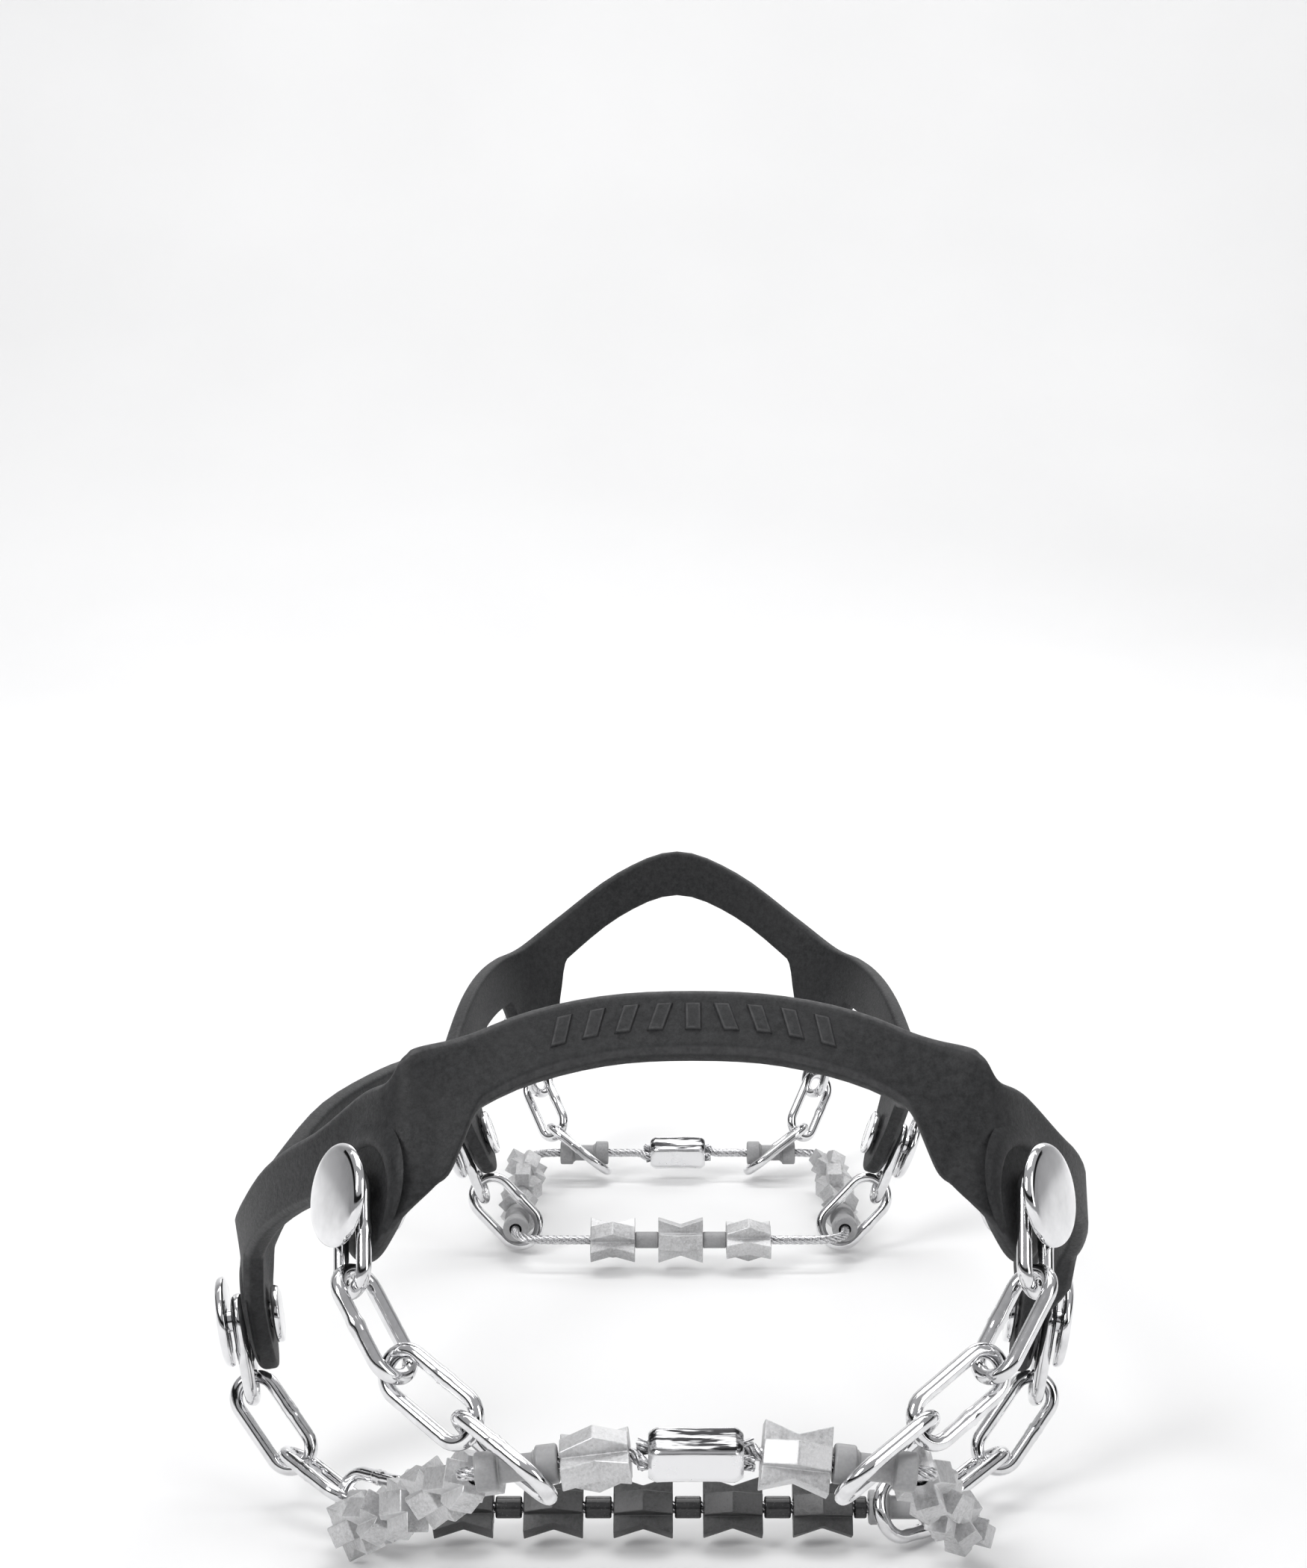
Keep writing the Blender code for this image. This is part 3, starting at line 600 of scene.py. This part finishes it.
def rivet_collar(key):
    """Moulded rim round the upper side of a rivet; it sinks and draws in under the head by the chain."""
    point, normal, down = PLACES[key]
    side = normal.cross(down)
    bm = bmesh.new()
    wear_and_painted_light = bm.verts.layers.float.new("wear_and_painted_light")
    outline = [(6.9, -0.6, 0.0), (7.2, 0.05, 0.0), (7.6, 0.42, 0.5), (8.1, 0.52, 0.9), (8.7, 0.44, 0.5),
               (9.5, 0.20, 0.1), (10.4, 0.02, 0.0), (11.2, -0.6, 0.0)]
    inner = outline[0][0]
    rings = []
    sides = 96
    for k in range(sides):
        t = 2 * math.pi * k / sides
        d = side * math.sin(t) - down * math.cos(t)
        lift = 0.5 + 0.5 * math.cos(t)
        lift = lift * lift * (3 - 2 * lift)
        ring = []
        for r, h, w in outline:
            reach = inner + (r - inner) * (0.1 + 0.9 * lift)
            rise = h if h < 0 else h * lift - 0.25 * (1 - lift)
            v = bm.verts.new(point + (d * reach + normal * rise) * MM)
            # the rim is pale only on its top: scuffing plus painted highlight
            v[wear_and_painted_light] = w * lift * 0.8
            ring.append(v)
        rings.append(ring)
    for a, b in zip(rings, rings[1:] + rings[:1]):
        bridge(bm, a, b)
    return piece(f"rivet_collar_{key}", bm, RUBBER, "band", smooth_deg=60.0)


# --- rivets ------------------------------------------------------------------------------------
def build_rivet(key):
    """Domed head, shank and inner flange, turned as one piece."""
    point, normal, _ = PLACES[key]
    back, top, r = -BAND_T - FLANGE_GAP, HEAD_LIFT + HEAD_T, HEAD_R
    outline = [(back - FLANGE_T, 0.05)] + arc(back - FLANGE_T + 0.4, FLANGE_R - 0.4, 0.4, 180, 90)
    outline += arc(back - 0.3, FLANGE_R - 0.3, 0.3, 90, 0, 3) + [(back, SHANK_R), (HEAD_LIFT, SHANK_R)]
    outline += arc(HEAD_LIFT + 0.35, r - 0.35, 0.35, 180, 90, 4)
    outline += arc(HEAD_LIFT + 0.45, r - 1.05, 1.05, 88, 22, 7)
    rise = top - outline[-1][0]
    edge_r = outline[-1][1]
    for k in range(1, 11):
        f = k / 10
        outline.append((top - rise * (1 - f) ** 2.2 * 0.9, edge_r * (1 - f) + 0.05 * f))
    bm = bmesh.new()
    turned(bm, point, normal, outline, 72, False)
    return piece(f"domed_rivet_{key}", bm, CHROME, "band", [f"rivet_{key}"], 50.0)


# --- chains ------------------------------------------------------------------------------------
def build_link(name, centre, d, w, inner_w):
    """Welded link: two bars and two round ends, with the weld's bead half way along one bar."""
    rng = random.Random(name)
    rc = inner_w / 2 + WIRE_R
    hs = (LINK_INNER - inner_w) / 2
    steps = 18
    path, on_bar = [], []
    for end in (1, -1):
        for k in range(steps + 1):
            a = math.pi * (k / steps - 0.5)
            path.append(centre + (d * (hs + rc * math.cos(a)) + w * (rc * math.sin(a))) * (end * MM))
            on_bar.append(None)
        for k in range(1, 16):
            f = k / 16
            path.append(centre + (d * (hs * (1 - 2 * f)) + w * rc) * (end * MM))
            on_bar.append(hs * (1 - 2 * f) if end == 1 else None)
    skew, size = rng.uniform(-0.8, 0.8), rng.uniform(0.15, 0.21)
    radii = []
    for s in on_bar:
        r = WIRE_R - (TIGHT_SLIM if name.startswith(TIGHT_CHAINS) else 0.0)
        if s is not None:
            r *= (1 + size * math.exp(-((s - skew) / 0.75) ** 2)
                  - size * 0.9 * math.exp(-((s - skew) / 0.22) ** 2))
        radii.append(r * MM)
    bm = bmesh.new()
    tube(bm, along(path, True), radii, 20, True)
    for v in bm.verts:
        rel = v.co - centre
        near = math.exp(-((rel.dot(d) / MM - skew) / 0.8) ** 2) if rel.dot(w) > 0 else 0.0
        v.co += rel.normalized() * (noise.noise(v.co * 1600) * (0.012 + 0.10 * near) * MM)
    return piece(f"{name}_wire", bm, NICKEL, name, [name], 60.0)


def build_chain(prefix, pin, normal, joints, rolls):
    """First link on the rivet's shank, then one link between each two joints; the last is wider."""
    far = joints[0] - pin
    d = (far - normal * far.dot(normal)).normalized()
    hang = (LINK_INNER - LINK_W) / 2 + PIN_PLAY
    build_link(f"{prefix}_a", pin + d * (hang * MM), d, normal.cross(d), LINK_W)
    for k, (p, q) in enumerate(zip(joints, joints[1:])):
        last = k == len(joints) - 2
        d = (q - p).normalized()
        ref = d.cross(Z).normalized()
        w = ref * math.cos(rolls[k]) + ref.cross(d) * math.sin(rolls[k])
        centre = p + d * (JOINT_REACH * MM) if last else q - d * (JOINT_REACH * MM)
        build_link(f"{prefix}_{'bcd'[k]}", centre, d, w, RING_W if last else LINK_W)


# --- beads, spacers and spools -----------------------------------------------------------------
ARM_TURNS = [q * math.pi / 2 for q in range(4)]


def star_section(centre, u, v, roll, peak, valley):
    """Outline of a bead square to the rope: two arms reach the peak size, two the valley size."""
    pts = []
    for q, turn in enumerate(ARM_TURNS):
        reach = peak if q % 2 == 0 else valley
        for out, side in ((reach, -ARM_HALF), (reach, ARM_HALF), (ARM_HALF, ARM_HALF)):
            a = math.atan2(side, out) + turn + roll
            r = math.hypot(side, out)
            pts.append(centre + (u * math.cos(a) + v * math.sin(a)) * (r * MM))
    return pts


def build_bead(name, start, axis, roll_deg, body, nodes=()):
    """Cast four-armed bead with a bore, bevelled edges and a slightly uneven skin."""
    u, v = axes_for(axis)
    roll = math.radians(roll_deg)
    bm = bmesh.new()
    wear_and_painted_light = bm.verts.layers.float.new("wear_and_painted_light")
    rings = []
    for f, peak, valley in ((0.0, PEAK_END, VALLEY_END), (0.5, PEAK_MID, VALLEY_MID),
                            (1.0, PEAK_END, VALLEY_END)):
        rings.append(ring_of(bm, star_section(start + axis * (f * BEAD_L * MM), u, v, roll, peak, valley)))
    for a, b in zip(rings, rings[1:]):
        bridge(bm, a, b)
    bores = []
    for f in (0.0, 1.0):
        centre = start + axis * (f * BEAD_L * MM)
        bores.append(ring_of(bm, [centre + (u * math.cos(t + roll) + v * math.sin(t + roll)) * (BORE_R * MM)
                                  for q in ARM_TURNS for t in (q - 0.36, q + 0.36, q + math.pi / 4)]))
    bridge(bm, bores[0], rings[0])
    bridge(bm, bores[1], rings[2])
    bridge(bm, bores[0], bores[1])
    bmesh.ops.recalc_face_normals(bm, faces=bm.faces[:])
    hard = [e for e in bm.edges if e.calc_face_angle(0) > math.radians(16)]
    made = bmesh.ops.bevel(bm, geom=hard, offset=0.24 * MM, segments=3, profile=0.6, affect="EDGES",
                           clamp_overlap=True)
    for vert in made["verts"]:
        vert[wear_and_painted_light] = 0.6
    for vert in bm.verts:
        radial = (vert.co - start) - axis * (vert.co - start).dot(axis)
        vert.co += radial.normalized() * (noise.noise(vert.co * 900) * 0.07 * MM)
        vert[wear_and_painted_light] *= 0.55 + 0.45 * noise.noise(vert.co * 500)
    # the middle row takes the copy darkened for painted shade; every other bead takes the plain steel
    mat = PAINTED_SHADE_STEEL if name.startswith("mid_bead") else STEEL
    return piece(name, bm, mat, body, nodes, 28.0)


def build_spacer(name, start, end, body, mat):
    """Short tube with softened ends."""
    axis, length = (end - start).normalized(), (end - start).length / MM
    soft, mid = 0.3, SPACER_R - 0.3
    outline = [(0.0, BORE_R)] + arc(soft, mid, soft, 180, 90, 4) + arc(length - soft, mid, soft, 90, 0, 4)
    outline += [(length, BORE_R)]
    bm = bmesh.new()
    turned(bm, start, axis, outline, 36, True)
    return piece(name, bm, mat, body, smooth_deg=50.0)


def build_row(node, start, end, count, rolls):
    """Beads threaded from start to end, with a spacer between each two."""
    axis = (end - start).normalized()
    length = (end - start).length / MM
    pitch = (length - BEAD_L) / (count - 1) if count > 1 else 0.0
    for k in range(count):
        s0 = start + axis * (k * pitch * MM)
        build_bead(f"{node}_bead_{k + 1}", s0, axis, rolls[k % len(rolls)], node, [node] if k == 0 else ())
        if k:
            before_end = start + axis * (((k - 1) * pitch + BEAD_L) * MM)
            build_spacer(f"{node}_spacer_{k}", before_end, s0, node, GREY)


def build_spool(node, centre, axis):
    """Two collars and a waist, with moulded fillets."""
    h, w, fillet = SPOOL_L / 2, WAIST_L / 2, 0.45
    half_outline = [(-h, BORE_R), (-h, COLLAR_R - 0.4)] + arc(-h + 0.4, COLLAR_R - 0.4, 0.4, 180, 90, 5)
    half_outline += arc(-w - 0.75, COLLAR_R - 0.35, 0.35, 90, 15, 5)
    half_outline += [(-w - 0.28, COLLAR_R - 0.55)] + [
        (-w - 0.05 + fillet * (1 - math.cos(math.radians(t))) - 0.1,
         WAIST_R + fillet * (1 - math.sin(math.radians(t))))
        for t in (20, 45, 70, 90)]
    outline = half_outline + [(-s, r) for s, r in half_outline[::-1]]
    bm = bmesh.new()
    turned(bm, centre, axis, outline, 48, True)
    return piece(f"{node}_sleeve", bm, GREY, node, [node], 50.0)


# --- rope and ferrules -------------------------------------------------------------------------
def route(stretches):
    """Points of a rope along straight stretches joined by smooth bends, as in the CAD."""
    pts = []
    for k, (a, b) in enumerate(stretches):
        pts += [a.copy(), b.copy()]
        if k == len(stretches) - 1:
            break
        c, d = stretches[k + 1]
        reach = (c - b).length * 0.5
        h0, h1 = b + (b - a).normalized() * reach, c - (d - c).normalized() * reach
        for s in range(1, 12):
            t = s / 12
            pts.append(b * (1 - t) ** 3 + h0 * 3 * t * (1 - t) ** 2 + h1 * 3 * t * t * (1 - t) + c * t ** 3)
    return pts


def even(points, step):
    """The same path with a point every step metres."""
    out, spare = [points[0]], 0.0
    for a, b in zip(points, points[1:]):
        length = (b - a).length
        s = step - spare
        while s < length:
            out.append(a.lerp(b, s / length))
            s += step
        spare = length - (s - step)
    return out


def build_rope(node, stretches):
    """Stranded wire rope: a core and six strands laid round it."""
    step = 0.55
    pts = even(route(stretches), step * MM)
    frames = along(pts, False)
    strand_r, lay = CABLE_R / 3.0, 8.5   # lay: length of one turn of a strand
    bm = bmesh.new()
    tube(bm, frames, [strand_r * MM] * len(frames), 8, False)
    for k in range(6):
        path = []
        for i, (p, _, u, v) in enumerate(frames):
            t = 2 * math.pi * (k / 6 + i * step / lay)
            path.append(p + (u * math.cos(t) + v * math.sin(t)) * (strand_r * 1.98 * MM))
        tube(bm, along(path, False), [strand_r * MM] * len(path), 8, False)
    return piece(f"{node}_strands", bm, ROPE, "band", [node], 60.0)


def build_frays(node, centre):
    """Loose wires that splay from a crimped barrel's two mouths, round the rope and its cut end."""
    rng = random.Random(f"{node}_frays")
    wire_r, start, reach = 0.2, FERRULE_L / 2 - 0.8, 2.2
    side = X.cross(LAP_UP)
    bm = bmesh.new()
    for end in (-1, 1):
        for lap in (-1, 1):
            for k in range(7):
                turn = 2 * math.pi * (k + rng.random() * 0.6) / 7
                flare, lay = rng.uniform(0.05, 0.45), rng.uniform(0.5, 1.1)
                length = reach * rng.uniform(0.75, 1.0)
                path = []
                for step in range(9):
                    f = step / 8
                    r = CABLE_R - wire_r + flare * f * f
                    t = turn + lay * f
                    path.append(centre + (X * (end * (start + length * f))
                                          + LAP_UP * (lap * LAP + r * math.sin(t))
                                          + side * (r * math.cos(t))) * MM)
                tube(bm, along(path, False), [wire_r * MM] * len(path), 6, False)
    return piece(f"{node}_frays", bm, ROPE, "band", smooth_deg=60.0)


def build_ferrule(node, centre):
    """Swaged barrel: six dished facets, rounded corners, a plain collar at each end, oval bore."""
    side = X.cross(LAP_UP)
    h = FERRULE_L / 2
    sides = 72
    rng = random.Random(node)
    dents = [rng.uniform(0.06, 0.16) for _ in range(6)]

    def section(x, r, squared):
        pts = []
        for k in range(sides):
            a = 2 * math.pi * k / sides
            facet = (math.degrees(a) + FERRULE_TURN) % 60 - 30
            flat = r * math.cos(math.radians(30)) / math.cos(math.radians(facet))
            corner = r * (1 - 0.035)
            hexed = -math.log(math.exp(-9 * flat) + math.exp(-9 * corner)) / 9
            dish = (dents[int(math.degrees(a) // 60) % 6] * (math.cos(math.radians(facet * 3)) * 0.5 + 0.5)
                    * max(0.0, 1 - (x / (h - 1.6)) ** 2))
            rr = (hexed - dish * squared) * squared + r * 0.93 * (1 - squared)
            rr += noise.noise(Vector((x * 0.6, math.cos(a) * 2, math.sin(a) * 2))) * 0.06
            pts.append(centre + (X * x + (LAP_UP * math.sin(a) + side * math.cos(a)) * rr) * MM)
        return pts

    def oval(x, grow=0.0):
        pts = []
        for k in range(sides):
            a = 2 * math.pi * k / sides
            up = math.sin(a) * (BORE_R + grow) + LAP * max(-1.0, min(1.0, math.sin(a) * 8))
            pts.append(centre + (X * x + LAP_UP * up + side * (math.cos(a) * (BORE_R + grow))) * MM)
        return pts

    half_outline = [(-h, 3.15, 0.2), (-h + 0.25, 3.45, 0.35), (-h + 0.7, 3.85, 0.75)]
    half_outline += [(-h + x, FERRULE_R, 1.0) for x in (1.1, 2.2, 3.6, 5.0)]
    outline = half_outline + [(0.0, FERRULE_R, 1.0)] + [(-x, r, q) for x, r, q in half_outline[::-1]]
    bm = bmesh.new()
    wear_and_painted_light = bm.verts.layers.float.new("wear_and_painted_light")
    rings = [ring_of(bm, section(*row)) for row in outline]
    for ring in rings[1:-1]:
        for k, vert in enumerate(ring):
            turn = (360 * k / sides + FERRULE_TURN + 180) % 360 - 180
            vert[wear_and_painted_light] = 1.0 if 2 < turn < 58 else 0.0      # the one facet, facing up and forward, that carries the painted dark reflection
    rings += [ring_of(bm, oval(h, 0.35)), ring_of(bm, oval(h - 0.5)), ring_of(bm, oval(-h + 0.5)),
              ring_of(bm, oval(-h, 0.35))]
    for a, b in zip(rings, rings[1:] + rings[:1]):
        bridge(bm, a, b)
    return piece(f"{node}_barrel", bm, CRIMP, "band", [node], 35.0)


# --- net layout, mm ----------------------------------------------------------------------------
MID_Y, MID_Z, FRONT_Z, FRONT_END_Z, HEEL_Z = 60.0, -5.0, 26.0, 24.2, -4.5
FRONT_WAIST, MID_WAIST_L, MID_WAIST_R = 23.7, -47.5, 33.3
LAP_OUT, BEAD_X, MID_BEADS = 8.7, 13.25, (-35.0, -21.1, -7.2, 6.7, 20.6)
DIAG_L, DIAG_R = ((-29.6, 7.6, 20.2), (-52.6, 54.2, -6.4)), ((30.4, 7.6, 20.2), (42.2, 54.2, -6.4))
HEEL_SIDE_X, HEEL_FRONT_Y, HEEL_REAR_Y = 34.5, 204.0, 275.0
HEEL_FRONT_X, HEEL_BEADS_X, HEEL_LAP_OUT, HEEL_ROW = 27.5, 18.6, 9.2, (0.4, 42.4)
ARCH_WAIST_Y, REAR_WAIST = 217.0, 21.6
# left chain's joints from the rivet to the rope, twist of each link after the first in degrees, and
# the two waists it runs to, whose middle is the mirror of the right chain
CHAINS = {
    "front": ([(-47.3, 18.7, 43.9), (-40.6, 12.7, 33.5), (-30.7, 5.1, 28.0), (-23.7, 0.0, 24.2)],
              (8, 107, 46), (-23.7, 23.7)),
    "mid": ([(-70.9, 81.0, 6.6), (-62.9, 76.7, -3.4), (-53.9, 66.9, -6.1), (-47.5, 60.0, -5.0)],
            (117, 28, 113), (-47.5, 33.3)),
    "arch": ([(-41.6, 218.2, 2.8), (-34.5, 217.0, -4.5)], (117,), (-34.5, 34.5)),
    "rear": ([(-33.3, 285.8, 9.2), (-28.3, 277.5, 0.2), (-21.6, 275.0, -4.5)], (115, 21), (-21.6, 21.6)),
}


def front_at(x):
    """Point on the front strand, which falls a little from the ferrule to the spools."""
    return at(x, 0, FRONT_Z - (FRONT_Z - FRONT_END_Z) * (abs(x) - LAP_OUT) / (FRONT_WAIST - LAP_OUT))


def lap_ends(centre):
    """The two rope ends that lie side by side in a ferrule."""
    lift, x0, x1 = LAP_UP * (LAP * MM), X * (7.8 * MM), X * (6.5 * MM)
    return (centre - x0 + lift, centre + x1 + lift), (centre - x1 - lift, centre + x0 - lift)


band = build_band()
drill_band(band)
toe_bars()
for key in PLACES:
    rivet_collar(key)
    build_rivet(key)

half = SPOOL_L / 2 + GAP
centre = at(0, 0, FRONT_Z)
first, last = lap_ends(centre)
mid_l, mid_r = MID_WAIST_L - half, MID_WAIST_R + half
build_rope("forefoot_cable", [
    first, (front_at(LAP_OUT), front_at(FRONT_WAIST + half)),
    (at(*DIAG_R[0]), at(*DIAG_R[1])),
    (at(mid_r, MID_Y, MID_Z), at(mid_l, MID_Y, MID_Z)),
    (at(*DIAG_L[1]), at(*DIAG_L[0])),
    (front_at(-FRONT_WAIST - half), front_at(-LAP_OUT)), last])
build_ferrule("forefoot_ferrule", centre)
build_frays("forefoot_ferrule", centre)
for side, s, roll in (("left", -1, 12), ("right", 1, 58)):
    fall = (front_at(s * 20.0) - front_at(s * 10.0)).normalized() * s
    reach = fall * (BEAD_L / 2 * MM)
    build_row(f"front_bead_{side}", front_at(s * BEAD_X) - reach, front_at(s * BEAD_X) + reach, 1, (roll,))
    build_spool(f"front_spool_{side}", front_at(s * FRONT_WAIST), fall)
for k, x in enumerate(MID_BEADS):
    build_row(f"mid_bead_{k + 1}", at(x - BEAD_L / 2, MID_Y, MID_Z), at(x + BEAD_L / 2, MID_Y, MID_Z), 1,
              (45 + 4 * k,))
build_row("diagonal_beads_left", at(*DIAG_L[0]), at(*DIAG_L[1]), 5, (20, 65, 100, 35, 75))
build_row("diagonal_beads_right", at(*DIAG_R[0]), at(*DIAG_R[1]), 5, (70, 25, 95, 50, 10))
edges = [MID_WAIST_L + half] + [x + s * (BEAD_L / 2 + GAP) for x in MID_BEADS for s in (-1, 1)]
edges += [MID_WAIST_R - half]
for k, (a, b) in enumerate(zip(edges[::2], edges[1::2])):
    build_spacer(f"mid_spacer_{k + 1}", at(a, MID_Y, MID_Z), at(b, MID_Y, MID_Z), "band", BLACK)

centre = at(0, HEEL_REAR_Y, HEEL_Z)
first, last = lap_ends(centre)
row = [ARCH_WAIST_Y + half + y for y in HEEL_ROW]
sx, rear_end, front_x = HEEL_SIDE_X, REAR_WAIST + half, HEEL_FRONT_X
build_rope("heel_cable", [
    first, (at(HEEL_LAP_OUT, HEEL_REAR_Y, HEEL_Z), at(rear_end, HEEL_REAR_Y, HEEL_Z)),
    (at(sx, row[1] + 1, HEEL_Z), at(sx, ARCH_WAIST_Y - half, HEEL_Z)),
    (at(front_x, HEEL_FRONT_Y, HEEL_Z), at(-front_x, HEEL_FRONT_Y, HEEL_Z)),
    (at(-sx, ARCH_WAIST_Y - half, HEEL_Z), at(-sx, row[1] + 1, HEEL_Z)),
    (at(-rear_end, HEEL_REAR_Y, HEEL_Z), at(-HEEL_LAP_OUT, HEEL_REAR_Y, HEEL_Z)), last])
build_ferrule("heel_ferrule", centre)
build_frays("heel_ferrule", centre)
build_row("heel_front_beads", at(-HEEL_BEADS_X, HEEL_FRONT_Y, HEEL_Z),
          at(HEEL_BEADS_X, HEEL_FRONT_Y, HEEL_Z), 3, (40, 85, 20))
for side, s in (("left", -1), ("right", 1)):
    build_row(f"heel_beads_{side}", at(s * sx, row[0], HEEL_Z), at(s * sx, row[1], HEEL_Z), 3, (45, 90, 30))
    build_spool(f"arch_spool_{side}", at(s * sx, ARCH_WAIST_Y, HEEL_Z), Y)
    build_spool(f"rear_spool_{side}", at(s * REAR_WAIST, HEEL_REAR_Y, HEEL_Z), X)
build_spool("mid_spool_left", at(MID_WAIST_L, MID_Y, MID_Z), X)
build_spool("mid_spool_right", at(MID_WAIST_R, MID_Y, MID_Z), X)

for key, (joints, twists, waists) in CHAINS.items():
    middle = sum(waists) / 2
    for side in ("left", "right"):
        p, n, _ = PLACES[f"{key}_{side}"]
        flip = side == "right"
        pts = [at(2 * middle - j[0] if flip else j[0], j[1], j[2]) for j in joints]
        build_chain(f"{key}_link_{side}", p + n * (LINK_LIFT * MM), n, pts,
                    [math.radians(-t if flip else t) for t in twists])


# --- studio ------------------------------------------------------------------------------------
def studio():
    """Pale floor that sweeps up into a backdrop."""
    floor_z = cad_box[0].z - 0.0004
    near, bend_y, bend_r, wall_y, wall_top = -3.0, 1.2, 0.9, 2.1, 4.0   # metres
    profile = [(near, 0.0), (bend_y, 0.0)]
    for k in range(1, 13):
        t = math.radians(90 * k / 12)
        profile.append((bend_y + bend_r * math.sin(t), bend_r * (1 - math.cos(t))))
    profile.append((wall_y, wall_top))
    bm = bmesh.new()
    rows = [[bm.verts.new((x, y, floor_z + z)) for x in (-4.0, 4.0)] for y, z in profile]
    for a, b in zip(rows, rows[1:]):
        bm.faces.new((a[0], a[1], b[1], b[0]))
    mesh = bpy.data.meshes.new("floor")
    bm.to_mesh(mesh)
    bm.free()
    mesh.shade_smooth()
    n = Nodes("pale_floor")
    n.colour(n.ramp(n.noise(0.004, 2.0), [(0.3, 0.83), (0.7, 0.86)]))
    mesh.materials.append(n.set(Roughness=0.9))
    floor = bpy.data.objects.new("floor", mesh)
    bpy.context.scene.collection.objects.link(floor)


def softbox(name, place, target, size, watts):
    """Area light at a place in metres, aimed at a target."""
    lamp = bpy.data.lights.new(name, "AREA")
    lamp.shape = "RECTANGLE"
    lamp.size, lamp.size_y, lamp.energy = size[0], size[1], watts
    obj = bpy.data.objects.new(name, lamp)
    obj.location = place
    obj.rotation_euler = (Vector(target) - Vector(place)).to_track_quat("-Z", "Y").to_euler()
    bpy.context.scene.collection.objects.link(obj)


# brightness of the room by height, from the horizon at 0 to overhead at 1
SKY = [(0.0, 0.70), (0.10, 0.70), (0.16, 0.02), (0.30, 0.02), (0.36, 0.85), (1.0, 1.0)]
SKY_STRENGTH = 0.45


def dark_room():
    """World seen in the bright metal: pale low down and overhead, with a dark band between."""
    world = bpy.data.worlds.new("studio_world")
    world.use_nodes = True
    tree = world.node_tree
    coords = tree.nodes.new("ShaderNodeTexCoord")
    split = tree.nodes.new("ShaderNodeSeparateXYZ")
    ramp = tree.nodes.new("ShaderNodeValToRGB")
    items = ramp.color_ramp.elements
    while len(items) < len(SKY):
        items.new(0.5)
    for item, (height, value) in zip(items, SKY):
        item.position = height
        item.color = (value, value, value * 1.02, 1.0)
    tree.links.new(coords.outputs["Generated"], split.inputs["Vector"])
    tree.links.new(split.outputs["Z"], ramp.inputs["Fac"])
    tree.links.new(ramp.outputs["Color"], tree.nodes["Background"].inputs["Color"])
    tree.nodes["Background"].inputs["Strength"].default_value = SKY_STRENGTH
    bpy.context.scene.world = world


studio()
softbox("key_light", (-0.75, -0.85, 0.85), (0, -0.1, 0.02), (0.45, 0.6), 9)
softbox("fill_light", (0.95, -0.75, 0.55), (0, -0.1, 0.02), (0.5, 0.9), 3.5)
softbox("top_light", (0.0, 0.1, 1.25), (0, 0, 0), (1.0, 1.0), 5.5)
softbox("back_light", (0.3, 1.0, 0.8), (0, 0.1, 0.05), (1.2, 0.5), 3)
softbox("backdrop_light", (0.0, 0.5, 1.6), (0, 2.1, 0.7), (2.4, 0.8), 23)
dark_room()
bpy.context.scene.view_settings.view_transform = "Standard"

lens = bpy.data.cameras.new("camera")
lens.sensor_fit = "VERTICAL"
lens.sensor_width = lens.sensor_height = 36.0
lens.lens = 63.7
lens.clip_start, lens.clip_end = 0.01, 20.0
camera = bpy.data.objects.new("camera", lens)
camera.location = (-0.0056, -0.504, 0.159)
camera.rotation_euler = (math.radians(83), 0, 0)
bpy.context.scene.collection.objects.link(camera)
bpy.context.scene.camera = camera
